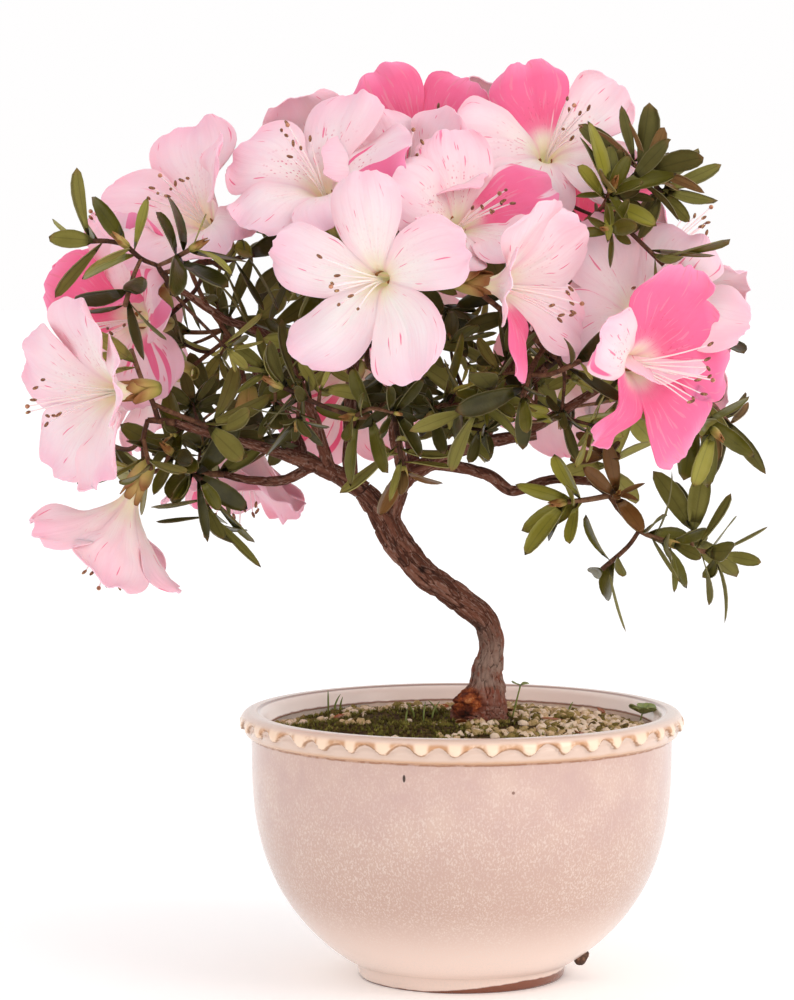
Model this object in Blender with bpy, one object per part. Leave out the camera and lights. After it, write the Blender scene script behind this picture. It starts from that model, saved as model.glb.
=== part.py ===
# Azalea bonsai in a round glazed pot, in full bloom.
# The plant stands on the flat foot of the pot. The origin is the centre of the foot,
# X runs to the right as the plant is seen from its front, Y away from the viewer, Z up.
# Sizes below are in millimetres, and every mesh is turned into metres when it is finished.

import math
import random

import bmesh
import bpy
from mathutils import Matrix, Vector
from mathutils.bvhtree import BVHTree

MM = 0.001
GAP = 0.3

# Pot: a hand-thrown bowl with a rolled rim, on a low foot.
RIM_ACROSS = 150.0
RIM_ROLL = 4.3
RIM_HEIGHT = 91.0
BODY_TOP_RADIUS = 71.4
BODY_DEPTH = 78.0
FOOT_RADIUS = 35.0
FOOT_HEIGHT = 5.0
WALL = 6.0
FLOOR = 9.0
BELLY_CURVE = 2.8
FOOT_CURVE = 1.15
POT_SIDES = 36
SOIL_SIDES = 24

# Soil, heaped a little towards the trunk.
SOIL_EDGE = 84.0
SOIL_TOP = 87.5
SOIL_PAD_RADIUS = 12.5
SOIL_COVER = 1.2
# Radius and height of the plain mound, from the wall inward.
SOIL_RINGS = ((60, 84.6), (52, 85.3), (44, 85.9), (36, 86.5), (28, 87.0), (20, 87.4))

# Limbs: sides of the trunk and of a bough, and rings for each length between two key points.
TRUNK_SIDES = 12
BOUGH_SIDES = 6
RINGS_PER_SPAN = 2

# Trunk stations from the soil to the left arm of the fork: x, y, z, radius.
TRUNK = (
    (7.0, 0.0, SOIL_TOP + GAP, 9.5),
    (7.5, 0.0, 92.5, 6.5),
    (8.3, 0.0, 98.5, 5.2),
    (8.8, 1.0, 105.0, 4.9),
    (10.0, 2.0, 111.0, 4.0),
    (9.7, 2.0, 116.5, 4.2),
    (6.0, 0.0, 123.5, 4.4),
    (-4.5, -2.0, 132.0, 4.4),
    (-13.5, -4.0, 139.0, 4.4),
    (-18.5, -5.0, 144.5, 4.5),
    (-22.5, -5.0, 150.0, 4.7),
    (-26.0, -5.0, 157.0, 4.6),
    (-30.5, -5.2, 162.8, 4.0),
    (-33.5, -5.5, 166.0, 3.5),
)
FORK_ARM = (
    (-24.5, -5.0, 154.5, 3.4),
    (-24.0, -5.0, 160.5, 3.8),
    (-21.8, -5.0, 166.5, 3.6),
)
ROOT_LOBES = 5
ROOT_LOBE_DEPTH = 0.16

# Boughs: parent, where on the parent it leaves (0 to 1), radius there and at the tip,
# and the points it passes through. A bough with no place on its parent grows on from the
# end of that parent, face to face.
BOUGHS = {
    "left_bough": ("trunk", None, 3.4, 2.3, ((-42, -7, 171.5), (-51, -9, 175.5), (-60, -11, 179))),
    "right_bough": (
        "fork_arm",
        None,
        3.5,
        1.9,
        ((-18, -6, 171.5), (-10.5, -6, 175.5), (-2, -5, 179.5), (11, -4, 183), (25, -4, 185)),
    ),
    "left_low_bough": ("left_bough", 0.62, 1.9, 1.2, ((-60, -10, 170), (-71, -11, 170), (-80, -12, 172))),
    "left_front_bough": ("left_bough", 0.84, 2.0, 1.3, ((-68, -20, 182), (-84, -30, 187), (-95, -37, 191))),
    "left_top_bough": (
        "left_bough",
        0.42,
        2.1,
        1.1,
        ((-51, -14, 194), (-63, -20, 217), (-79, -29, 225), (-95, -37, 236)),
    ),
    "top_bough": ("left_bough", 0.16, 2.6, 1.5, ((-38, 2, 190), (-36, 5, 215), (-31, 3, 240))),
    "front_bough": ("right_bough", 0.14, 2.3, 1.3, ((-23, -20, 188), (-24, -34, 208), (-23, -44, 224))),
    "right_low_bough": (
        "right_bough",
        0.42,
        2.2,
        1.4,
        ((8, -9, 172), (17, -11, 166.5), (30, -13, 170.5), (43, -15, 170)),
    ),
    "right_front_bough": ("right_bough", 0.56, 2.2, 1.4, ((12, -20, 192), (21, -33, 203), (27, -42, 210))),
    "right_top_bough": ("right_bough", 0.74, 2.1, 1.2, ((16, -8, 206), (24, -15, 230), (36, -26, 250))),
    "right_end_bough": ("right_bough", 0.9, 1.9, 1.2, ((36, -2, 194), (50, 3, 203), (61, 4, 209))),
    "back_left_bough": ("left_bough", 0.74, 2.1, 1.3, ((-58, 8, 187), (-68, 25, 201), (-75, 35, 212))),
    "back_bough": ("right_bough", 0.26, 2.4, 1.4, ((-18, 14, 186), (-24, 34, 200), (-27, 46, 210))),
    "back_right_bough": ("right_bough", 0.66, 2.2, 1.3, ((14, 12, 196), (26, 29, 207), (35, 39, 215))),
}

# Blooms: mass that carries it, mouth of the funnel, the way it faces, a turn about that
# way in degrees, its size against a bloom 72 mm across, and how far its lobes open.
# The order is the order of placing, so that a bloom further down is the one that folds
# its lobes forward where it would crowd another mass.
BLOOMS = {
    "front": ("front_mass", (-31, -86, 240), (-0.36, -0.93, 0.05), 6, 1.0, 1.0),
    "front_right": ("right_front_mass", (18, -76, 237), (0.84, -0.54, -0.04), 20, 0.95, 0.7),
    "right_hot": ("right_front_mass", (60, -70, 211), (0.68, -0.72, -0.10), -4, 1.0, 0.9),
    "right_pale": ("right_front_mass", (58, -46, 231), (0.10, -0.80, 0.58), 36, 1.0, 0.9),
    "left": ("left_front_mass", (-121, -60, 202), (-0.78, -0.62, -0.03), 0, 1.0, 0.8),
    "left_low": ("left_front_mass", (-115, -28, 156), (-0.44, 0.12, -0.89), 25, 0.95, 0.66),
    "top_left": ("top_mass", (-48, -42, 274), (-0.25, -0.58, 0.78), 0, 1.0, 0.9),
    "top_right": ("right_top_mass", (29, -18, 284), (0.12, -0.80, 0.58), 14, 0.95, 0.9),
    "centre_right": ("top_mass", (1, -52, 260), (0.35, -0.78, 0.50), 0, 0.9, 0.85),
    "centre_top": ("top_mass", (-19, -34, 275), (0.05, -0.62, 0.78), 20, 0.85, 0.85),
    "top": ("top_mass", (-14, -4, 284), (-0.05, -0.86, 0.50), 36, 0.85, 0.95),
    "upper_left": ("left_top_mass", (-90, -18, 262), (-0.45, -0.64, 0.62), 20, 1.0, 0.85),
    "left_hot": ("left_top_mass", (-113, -12, 225), (-0.50, -0.84, 0.12), 0, 1.0, 0.9),
    "right_back": ("right_end_mass", (68, 12, 247), (0.62, 0.10, 0.78), 0, 1.0, 0.85),
    "low_back": ("back_left_mass", (-76, 36, 173), (-0.10, -0.25, -0.96), 0, 1.0, 0.5),
    "inner_left": ("left_top_mass", (-112, 14, 246), (-0.45, -0.45, 0.77), -20, 0.95, 0.9),
    "back_top_left": ("back_mass", (-45, 46, 280), (-0.20, 0.50, 0.84), 30, 1.0, 0.9),
    "back_top_right": ("back_right_mass", (14, 42, 284), (0.15, 0.55, 0.82), 0, 0.95, 0.85),
    "back": ("back_mass", (-22, 86, 240), (0.0, 0.97, 0.25), 15, 1.0, 1.0),
    "back_low": ("back_mass", (-38, 75, 198), (-0.05, 0.94, -0.35), 0, 0.95, 0.8),
    "back_side_left": ("back_left_mass", (-112, 52, 205), (-0.75, 0.65, 0.05), 20, 1.0, 0.85),
    "back_side_right": ("back_right_mass", (44, 66, 248), (0.40, 0.76, 0.50), 0, 1.0, 0.85),
    "right_side": ("right_end_mass", (70, 36, 212), (0.68, 0.72, 0.05), 0, 0.95, 0.85),
    "back_low_right": ("back_right_mass", (34, 68, 202), (0.35, 0.88, -0.30), 25, 0.95, 0.75),
}
TUBE_LENGTH = 20.0
THROAT_RADIUS = 9.0
LOBE_LENGTH = 27.0
LOBE_SPREAD = 80.0
CALYX_RADIUS = 1.9
MOUTH_DEPTH = 24.0
PETAL_THICKNESS = 0.6
SINUS_REACH = 0.42
SHOULDER_REACH = 0.88
SHOULDER_TURN = 23.0
LOBES = 5
FOLD_STEP = 0.07
FOLD_ROUNDS = 14
LEAST_OPEN = 0.4

# Masses of foliage: bough that carries it, heart that its stem reaches, the half axes of
# the space for its leaves, how many seeded tips it tries for, and its named tips with the
# way each faces.
MASSES = {
    "left_low_mass": (
        "left_low_bough",
        (-90, -16, 172),
        (26, 26, 20),
        3,
        (((-86, -12, 157), (-0.8, -0.1, -0.3)), ((-97, -30, 181), (-0.8, -0.3, 0.1))),
    ),
    "left_front_mass": ("left_front_bough", (-104, -38, 192), (34, 34, 30), 4, ()),
    "left_top_mass": (
        "left_top_bough",
        (-100, -46, 243),
        (36, 40, 34),
        3,
        (
            ((-110, -54, 250), (-0.1, -0.4, 0.9)),
            ((-124, -52, 251), (-1.0, -0.2, 0.1)),
            ((-88, -55, 249), (0.4, -0.4, 0.8)),
        ),
    ),
    "front_mass": (
        "front_bough",
        (-23, -50, 234),
        (48, 34, 46),
        5,
        (
            ((-20, -42, 176), (0.3, -0.7, 0.1)),
            ((-36, -52, 194), (-0.1, -0.5, 0.8)),
            ((2, -48, 198), (0.4, -0.7, 0.2)),
            ((-60, -50, 204), (-0.5, -0.6, 0.2)),
        ),
    ),
    "top_mass": ("top_bough", (-29, 0, 252), (50, 40, 30), 5, (((-1, -22, 262), (0.1, -0.2, 1.0)),)),
    "right_front_mass": ("right_front_bough", (33, -46, 214), (50, 36, 34), 6, ()),
    "right_top_mass": (
        "right_top_bough",
        (41, -30, 258),
        (38, 32, 32),
        4,
        (
            ((48, -42, 268), (-0.1, -0.4, 0.9)),
            ((60, -36, 274), (0.3, -0.3, 0.9)),
            ((66, -28, 266), (0.9, -0.1, 0.4)),
        ),
    ),
    "right_low_mass": (
        "right_low_bough",
        (52, -18, 161),
        (44, 30, 26),
        3,
        (
            ((69, -22, 150), (0.7, -0.3, 0.0)),
            ((86, -20, 146), (0.9, -0.1, -0.1)),
            ((33, -28, 164), (0.3, -0.6, -0.2)),
        ),
    ),
    "right_end_mass": (
        "right_end_bough",
        (68, 6, 214),
        (36, 36, 40),
        3,
        (((83, -28, 188), (0.9, -0.2, 0.2)), ((80, -4, 199), (1.0, 0.0, 0.1))),
    ),
    "back_left_mass": ("back_left_bough", (-80, 40, 216), (42, 38, 42), 5, ()),
    "back_mass": ("back_bough", (-28, 52, 218), (44, 36, 44), 6, ()),
    "back_right_mass": ("back_right_bough", (40, 44, 220), (42, 36, 42), 5, ()),
}
TWIG_SIDES = 3
TWIG_TIP_RADIUS = 0.9
TWIG_SPREAD = 13.0
TWIG_NODE_STEP = 6.0
TWIG_TRIES = 24
TWIG_BOWS = (0.1, 0.3, -0.15, 0.5)
SHORTEST_TWIG = 4.0
TWIG_SINK = 2.0
TIP_TRIES = 60
BUD_RADIUS = 1.7
BUD_LENGTH = 7.0
LEAVES_AT_NAMED_TIP = 7
LEAVES_AT_TIP = 4
LEAF_TRIES = 16
LEAF_LENGTH = (18.0, 27.0)
LEAF_WIDTH = 0.36
LEAF_THICKNESS = 0.55
LEAF_SINK = 0.1
LEAF_START = 2.6
LEAF_STEP = 1.5
LEAF_TILT = (38.0, 82.0)
GOLDEN_TURN = 137.5

COLOURS = {
    "pot": (0.80, 0.70, 0.62, 0.35),
    "soil": (0.22, 0.18, 0.10, 0.95),
    "trunk": (0.30, 0.19, 0.15, 0.85),
    "bough": (0.22, 0.12, 0.09, 0.80),
    "mass": (0.16, 0.21, 0.06, 0.55),
}


def material(name, red, green, blue, roughness):
    made = bpy.data.materials.new(name)
    made.use_nodes = True
    shader = made.node_tree.nodes["Principled BSDF"]
    shader.inputs["Base Color"].default_value = (red, green, blue, 1.0)
    shader.inputs["Roughness"].default_value = roughness
    shader.inputs["Metallic"].default_value = 0.0
    return made


def add_object(name, points, faces, colour, collection=None):
    """A mesh object in metres from points in millimetres."""
    mesh = bpy.data.meshes.new(name)
    mesh.from_pydata([point * MM for point in points], [], faces)
    mesh.validate()
    obj = bpy.data.objects.new(name, mesh)
    (collection or bpy.context.scene.collection).objects.link(obj)
    if colour:
        mesh.materials.append(material(name + "_finish", *COLOURS[colour]))
    return obj


def shade_round(obj, degrees=50.0):
    obj.data.shade_smooth()
    obj.data.set_sharp_from_angle(angle=math.radians(degrees))


def lathe(profile, sides):
    """Points and faces of a solid turned about Z. The profile starts and ends on the axis."""
    points = [Vector((0, 0, profile[0][1]))]
    faces = []
    rings = profile[1:-1]
    for radius, height in rings:
        for side in range(sides):
            turn = 2 * math.pi * side / sides
            points.append(Vector((radius * math.cos(turn), radius * math.sin(turn), height)))
    points.append(Vector((0, 0, profile[-1][1])))
    last = len(points) - 1
    for side in range(sides):
        after = (side + 1) % sides
        faces.append((0, 1 + after, 1 + side))
        faces.append((last, last - sides + side, last - sides + after))
        for ring in range(len(rings) - 1):
            low = 1 + ring * sides
            high = low + sides
            faces.append((low + side, low + after, high + after, high + side))
    return points, faces


def body_radius(height):
    """Outer radius of the bowl: a quarter of a superellipse between foot and rim."""
    rise = (BODY_DEPTH - height) / (BODY_DEPTH - FOOT_HEIGHT)
    swell = (1 - max(0.0, rise) ** BELLY_CURVE) ** (1 / FOOT_CURVE)
    return FOOT_RADIUS + 1.5 + (BODY_TOP_RADIUS - FOOT_RADIUS - 1.5) * swell


def inner_radius(height):
    return body_radius(max(height, FLOOR + 1.0)) - WALL


def pot_profile():
    heights = [FOOT_HEIGHT + (BODY_DEPTH - FOOT_HEIGHT) * part for part in (0, 0.04, 0.12, 0.25, 0.42, 0.65, 1.0)]
    roll_centre = RIM_ACROSS / 2 - RIM_ROLL
    roll_height = RIM_HEIGHT - RIM_ROLL
    profile = [(0, 0), (FOOT_RADIUS, 0), (FOOT_RADIUS + 0.5, FOOT_HEIGHT - 1.0)]
    profile += [(body_radius(height), height) for height in heights]
    for step in range(6):
        turn = math.radians(-70 + 42 * step)
        profile.append((roll_centre + RIM_ROLL * math.cos(turn), roll_height + RIM_ROLL * math.sin(turn)))
    ledge = inner_radius(BODY_DEPTH)
    profile += [(ledge, roll_height - 1.5), (ledge, BODY_DEPTH)]
    profile += [(inner_radius(height), height) for height in reversed(heights[2:-1])]
    profile += [(inner_radius(FLOOR) * 0.9, FLOOR), (0, FLOOR)]
    return profile


def soil_profile():
    heights = [FLOOR + GAP + (BODY_DEPTH - FLOOR) * part for part in (0.0, 0.12, 0.3, 0.6, 1.0)]
    clear = GAP + 0.5
    profile = [(0, heights[0]), (inner_radius(FLOOR) * 0.9 - clear, heights[0])]
    profile += [(inner_radius(height) - 2 * clear, height) for height in heights[1:-1]]
    profile.append((inner_radius(BODY_DEPTH) - clear, SOIL_EDGE))
    return profile + [*SOIL_RINGS, (SOIL_PAD_RADIUS, SOIL_TOP), (0, SOIL_TOP)]


def soil_heaps(x, y):
    return 0.7 * math.sin(x / 7.9 + 0.6) * math.cos(y / 7.1 + 0.4) + 0.4 * math.sin((x + 2 * y) / 12.0)


def soil_solid():
    """The mound round the trunk's foot, with low heaps of moss and grit all over its top."""
    points, faces = lathe(soil_profile(), SOIL_SIDES)
    edge = inner_radius(BODY_DEPTH)
    for point in points:
        radius = math.hypot(point.x, point.y)
        if point.z > SOIL_EDGE + 0.1:
            point.x += TRUNK[0][0] * (1 - radius / edge)
        if SOIL_EDGE + 0.1 < point.z < SOIL_TOP - 0.01:
            point.z += SOIL_COVER + soil_heaps(point.x, point.y)
    return points, faces


def catmull(points, steps):
    """Points on a smooth curve through the given ones, which may carry a radius too."""
    size = len(points[0])
    ends = [[2 * a - b for a, b in zip(points[0], points[1])], [2 * a - b for a, b in zip(points[-1], points[-2])]]
    run = [ends[0]] + [list(point) for point in points] + [ends[1]]
    curve = []
    for i in range(1, len(run) - 2):
        for step in range(steps):
            t = step / steps
            curve.append(
                [
                    0.5
                    * (
                        2 * run[i][k]
                        + (run[i + 1][k] - run[i - 1][k]) * t
                        + (2 * run[i - 1][k] - 5 * run[i][k] + 4 * run[i + 1][k] - run[i + 2][k]) * t * t
                        + (3 * run[i][k] - run[i - 1][k] - 3 * run[i + 1][k] + run[i + 2][k]) * t**3
                    )
                    for k in range(size)
                ]
            )
    curve.append(list(points[-1]))
    return curve


def tube(path, radii, sides, start_way=None, swell=None):
    """A closed tapering tube along a path, whose first ring faces start_way.

    swell(ring, turn) scales a ring's radius.
    """
    points, faces = [], []
    before = None
    for i, centre in enumerate(path):
        ahead = path[min(i + 1, len(path) - 1)]
        behind = path[max(i - 1, 0)]
        along = (ahead - behind).normalized()
        if start_way and i == 0:
            along = start_way
        if before is None:
            across = along.orthogonal().normalized()
        else:
            across = (before - along * before.dot(along)).normalized()
        before = across
        other = along.cross(across)
        for side in range(sides):
            turn = 2 * math.pi * side / sides
            radius = radii[i] * (swell(i, turn) if swell else 1.0)
            points.append(centre + (across * math.cos(turn) + other * math.sin(turn)) * radius)
    for i in range(len(path) - 1):
        for side in range(sides):
            after = (side + 1) % sides
            low = i * sides
            faces.append((low + side, low + after, low + sides + after, low + sides + side))
    faces.append(tuple(reversed(range(sides))))
    faces.append(tuple(range((len(path) - 1) * sides, len(path) * sides)))
    return points, faces


def root_swell(ring, turn):
    """Buttresses at the trunk's foot, which fade above it."""
    fade = max(0.0, 1 - ring / (2 * RINGS_PER_SPAN))
    return 1 + ROOT_LOBE_DEPTH * fade * math.cos(ROOT_LOBES * turn + 0.6)


class Limb:
    """A trunk or bough: its smooth path in millimetres and its radius along it."""

    def __init__(self, stations, start_way=None):
        self.start_way = start_way
        curve = catmull(stations, RINGS_PER_SPAN)
        self.path = [Vector(point[:3]) for point in curve]
        self.radii = [point[3] for point in curve]

    def at(self, place):
        """Point and radius at a place from 0, its start, to 1, its tip."""
        scaled = place * (len(self.path) - 1)
        low = min(int(scaled), len(self.path) - 2)
        part = scaled - low
        point = self.path[low].lerp(self.path[low + 1], part)
        return point, self.radii[low] * (1 - part) + self.radii[low + 1] * part

    def end(self):
        """Tip, the way it points, and the radius there."""
        return self.path[-1], (self.path[-1] - self.path[-2]).normalized(), self.radii[-1]

    def solid(self, sides, extra=0.0, **options):
        """The limb's tube, grown by extra all round and past both ends."""
        path = list(self.path)
        path[0] = path[0] + (path[0] - path[1]).normalized() * extra
        path[-1] = path[-1] + (path[-1] - path[-2]).normalized() * extra
        radii = [radius + extra for radius in self.radii]
        return tube(path, radii, sides, self.start_way, **options)


def limbs():
    """All limbs by name, worked out from the trunk outwards."""
    made = {"trunk": Limb(TRUNK, Vector((0, 0, 1))), "fork_arm": Limb(FORK_ARM)}
    for name, (parent, place, thick, thin, through) in BOUGHS.items():
        if place is None:
            tip, along, _ = made[parent].end()
            start = tip + along * GAP
        else:
            start, _ = made[parent].at(place)
            along = None
        stops = [tuple(start)] + list(through)
        last = len(stops) - 1
        stations = [(*stop, thick + (thin - thick) * i / last) for i, stop in enumerate(stops)]
        made[name] = Limb(stations, along)
    return made


def clearance_cutter(name, limb, sides):
    """The space a limb needs: its own shape and a gap around it."""
    cutter = add_object(name, *limb.solid(sides, extra=GAP), None)
    cutter.hide_render = True
    cutter.display_type = "WIRE"
    return cutter


def boolean(obj, operation, other):
    modifier = obj.modifiers.new(operation.lower(), "BOOLEAN")
    modifier.operation = operation
    modifier.solver = "EXACT"
    if isinstance(other, bpy.types.Collection):
        modifier.operand_type = "COLLECTION"
        modifier.collection = other
    else:
        modifier.object = other


def apply_modifiers(obj):
    graph = bpy.context.evaluated_depsgraph_get()
    mesh = bpy.data.meshes.new_from_object(obj.evaluated_get(graph))
    obj.modifiers.clear()
    obj.data = mesh


def build_limbs(made):
    trunk = add_object(
        "trunk", *made["trunk"].solid(TRUNK_SIDES, swell=root_swell), "trunk"
    )
    arm = add_object("fork_arm", *made["fork_arm"].solid(TRUNK_SIDES - 2), None)
    boolean(trunk, "UNION", arm)
    apply_modifiers(trunk)
    bpy.data.objects.remove(arm)
    shade_round(trunk)
    cutters = {}
    for name, (parent, place, *_) in BOUGHS.items():
        bough = add_object(name, *made[name].solid(BOUGH_SIDES), "bough")
        if place is not None:
            if parent not in cutters:
                cutters[parent] = clearance_cutter(parent + "_clearance", made[parent], BOUGH_SIDES)
            boolean(bough, "DIFFERENCE", cutters[parent])
        shade_round(bough, 70)


def frame_of(facing, turn):
    """A matrix whose Z faces a given way, turned about it in degrees."""
    way = Vector(facing).normalized()
    across = Vector((0, 0, 1)) - way * way.z
    if across.length < 0.05:
        across = Vector((0, -1, 0)) - way * -way.y
    across.normalize()
    side = across.cross(way)
    basis = Matrix((side, across, way)).transposed()
    return basis @ Matrix.Rotation(math.radians(turn), 3, "Z")


def bloom_base(mouth, facing, size):
    return Vector(mouth) - Vector(facing).normalized() * MOUTH_DEPTH * size


def bloom_solid(mouth, facing, turn, size, openness, extra=0.0):
    """A thin five-lobed funnel, closed all round, with a solid foot at its calyx.

    Its rings have 5 points at the foot, 10 at the throat and 20 along the edge of the lobes.
    """
    basis = frame_of(facing, turn)
    base = bloom_base(mouth, facing, size)
    lift = PETAL_THICKNESS / 2 + extra
    throat = THROAT_RADIUS * size
    tube_length = TUBE_LENGTH * size

    def point(degrees, radius, height):
        around = math.radians(degrees)
        return base + basis @ Vector((radius * math.sin(around), radius * math.cos(around), height))

    def edge_point(degrees, reach, part_open, offset):
        spread = math.radians(LOBE_SPREAD * part_open)
        length = LOBE_LENGTH * size * reach + (extra if reach > SINUS_REACH else 0)
        radius = throat + length * math.sin(spread) - offset * math.cos(spread)
        return point(degrees, radius, tube_length + length * math.cos(spread) + offset * math.sin(spread))

    foot, throats, edges = [], {-1: [], 1: []}, {-1: [], 1: []}
    for lobe in range(LOBES):
        middle = 360 / LOBES * lobe
        between = (openness[lobe] + openness[lobe - 1]) / 2
        foot.append(point(middle, CALYX_RADIUS + extra, -extra))
        for face in (-1, 1):
            for half in (-180 / LOBES, 0):
                throats[face].append(point(middle + half, throat - face * lift, tube_length + face * lift))
            edges[face].append(edge_point(middle - 180 / LOBES, SINUS_REACH, between, face * lift))
            for turned, reach in ((-SHOULDER_TURN, SHOULDER_REACH), (0, 1.0), (SHOULDER_TURN, SHOULDER_REACH)):
                edges[face].append(edge_point(middle + turned, reach, openness[lobe], face * lift))
    points = foot + throats[-1] + edges[-1] + edges[1] + throats[1]
    points.append(base + basis @ Vector((0, 0, tube_length * 0.35)))
    throat_out, edge_out, edge_in, throat_in = LOBES, 3 * LOBES, 7 * LOBES, 11 * LOBES
    apex = len(points) - 1
    faces, lobe_of = [tuple(range(LOBES))], [None]
    for lobe in range(LOBES):
        after = (lobe + 1) % LOBES
        left = 2 * lobe
        middle = left + 1
        right = 2 * after
        rim = [4 * lobe + step for step in range(4)] + [4 * after]
        low = throat_out
        tube_faces = [
            (lobe, low + left, low + middle),
            (lobe, low + middle, low + right),
            (lobe, low + right, after),
            (apex, throat_in + middle, throat_in + left),
            (apex, throat_in + right, throat_in + middle),
        ]
        petal_faces = []
        for neck, edge, turned in ((throat_out, edge_out, 1), (throat_in, edge_in, -1)):
            fans = [
                (neck + left, edge + rim[0], edge + rim[1]),
                (neck + left, edge + rim[1], neck + middle),
                (neck + middle, edge + rim[1], edge + rim[2]),
                (neck + middle, edge + rim[2], edge + rim[3]),
                (neck + middle, edge + rim[3], neck + right),
                (neck + right, edge + rim[3], edge + rim[4]),
            ]
            petal_faces += [fan[::turned] for fan in fans]
        for step in range(4):
            petal_faces.append((edge_out + rim[step], edge_in + rim[step], edge_in + rim[step + 1]))
            petal_faces.append((edge_out + rim[step], edge_in + rim[step + 1], edge_out + rim[step + 1]))
        faces += tube_faces + petal_faces
        lobe_of += [None] * len(tube_faces) + [lobe] * len(petal_faces)
    return points, faces, lobe_of


def leaf_solid(root, along, normal, length, extra=0.0):
    """A leaf of eight faces: root, tip, two edges, and the middle of each side."""
    side = along.cross(normal).normalized()
    width = length * LEAF_WIDTH / 2 + extra
    lift = LEAF_THICKNESS / 2 + extra
    middle = root + along * length * 0.52 + normal * length * 0.05
    points = [
        root - along * extra,
        middle + side * width,
        root + along * (length + extra),
        middle - side * width,
        middle + normal * lift,
        middle - normal * lift,
    ]
    faces = []
    for i in range(4):
        after = (i + 1) % 4
        faces.append((i, after, 4))
        faces.append((after, i, 5))
    return points, faces


def bud_solid(place, along, extra=0.0):
    """A pointed bud of four sides that stands over a twig's tip."""
    across = along.orthogonal().normalized()
    other = along.cross(across)
    ring = place + along * BUD_LENGTH * 0.15
    points = [place - along * (BUD_LENGTH * 0.35 + extra)]
    for side in range(4):
        turn = math.pi / 2 * side
        points.append(ring + (across * math.cos(turn) + other * math.sin(turn)) * (BUD_RADIUS + extra))
    points.append(place + along * (BUD_LENGTH * 0.65 + extra))
    faces = []
    for side in range(4):
        after = (side + 1) % 4
        faces.append((0, 1 + after, 1 + side))
        faces.append((5, 1 + side, 1 + after))
    return points, faces


class Kept:
    """What already stands, so that a new piece can be tested against it."""

    def __init__(self):
        self.trees = []

    def add(self, owner, solid, tag="limb"):
        points, faces = solid
        self.trees.append((owner, tag, BVHTree.FromPolygons(points, faces)))

    def touches(self, solid, owner, own_too=(), spare=()):
        """The first standing piece that a new one touches, with the faces that do, or None.

        A piece may touch those of its own owner, but for the kinds named in own_too.
        """
        points, faces = solid
        tree = BVHTree.FromPolygons(points, faces)
        for other, tag, standing in self.trees:
            if other == owner and (tag in spare or tag.split(":")[0] not in own_too):
                continue
            pairs = tree.overlap(standing)
            if pairs:
                return f"{other} {tag}", [pair[0] for pair in pairs]
        return None


class Mass:
    """One mass: the nodes its twigs can leave from, and the solids that make it up."""

    def __init__(self, name, made_limbs):
        bough, heart, reach, tips, named = MASSES[name]
        self.name = name
        self.heart = Vector(heart)
        self.reach = reach
        self.tips = tips
        self.named = named
        self.solids = []
        self.blooms = []
        self.ends = []
        self.dice = random.Random(name)
        tip, along, radius = made_limbs[bough].end()
        start = tip + along * GAP
        bend = start.lerp(self.heart, 0.5) + along * (self.heart - start).length * 0.12
        self.stem_path = [start, bend, self.heart]
        self.stem_radii = [radius, radius * 0.9, radius * 0.75]
        self.stem = tube(self.stem_path, self.stem_radii, BOUGH_SIDES, along)
        self.nodes = []
        self.note(self.stem_path, self.stem_radii)

    def note(self, path, radii):
        """Adds the places along a twig that another can leave from."""
        for i in range(len(path) - 1):
            length = (path[i + 1] - path[i]).length
            steps = max(1, int(length / TWIG_NODE_STEP))
            for step in range(1, steps + 1):
                part = step / steps
                self.nodes.append(
                    (
                        path[i].lerp(path[i + 1], part),
                        (path[i + 1] - path[i]).normalized(),
                        radii[i] * (1 - part) + radii[i + 1] * part,
                    )
                )

    def inside(self, place):
        away = place - self.heart
        return sum((away[k] / self.reach[k]) ** 2 for k in range(3)) < 1.0


class Tip:
    """Where a twig ends, its straight last stretch, the tag of the twig, and what it bears."""

    def __init__(self, bend, place, twig):
        self.place = place
        self.way = (place - bend).normalized()
        self.stretch = (place - bend).length
        self.twig = twig
        self.has_bud = False
        self.leaves = LEAVES_AT_TIP


def twig_route(node, target, arrive, bow):
    """A twig from a node to its target, which it reaches along a given way."""
    start, along, radius = node
    distance = (target - start).length
    bend = start.lerp(target, 0.5) + along * distance * bow - arrive * distance * 0.14
    thick = min(radius * 0.85, 0.9 + distance * 0.012)
    return [start, bend, target], [thick, thick * 0.5 + TWIG_TIP_RADIUS * 0.5, TWIG_TIP_RADIUS]


def grow_twig(mass, kept, target, arrive, spare=()):
    """Adds the shortest twig to a target that touches nothing, and gives its tip, or None."""

    def detour(node):
        away = target - node[0]
        return away.length * (1.25 - 0.25 * node[1].dot(away.normalized()))

    nearest = sorted(mass.nodes, key=detour)[:TWIG_TRIES]
    for bow in TWIG_BOWS:
        for node in nearest:
            path, radii = twig_route(node, target, arrive, bow)
            if (target - node[0]).length < SHORTEST_TWIG:
                continue
            swollen = tube(path, [radius + GAP + 0.1 for radius in radii], TWIG_SIDES)
            if kept.touches(swollen, mass.name, ("bloom",), spare):
                continue
            solid = tube(path, radii, TWIG_SIDES)
            tag = f"twig:{len(mass.solids)}"
            mass.solids.append(solid)
            kept.add(mass.name, solid, tag)
            mass.note(path, radii)
            return Tip(path[1], target, tag)
    return None


def fold_lobes(kept, owner, place, openness, own_too):
    """Folds lobes forward until the bloom is clear. Gives what it still meets, or None."""
    for _ in range(FOLD_ROUNDS * LOBES):
        *swollen, lobe_of = bloom_solid(*place, openness, extra=GAP + 0.1)
        met = kept.touches(swollen, owner, own_too)
        if not met:
            return None
        lobes = {lobe_of[face] for face in met[1]} - {None}
        lobes = {lobe for lobe in lobes if openness[lobe] > LEAST_OPEN}
        if not lobes:
            return met[0]
        for lobe in lobes:
            openness[lobe] -= FOLD_STEP
    return met[0]


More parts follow.
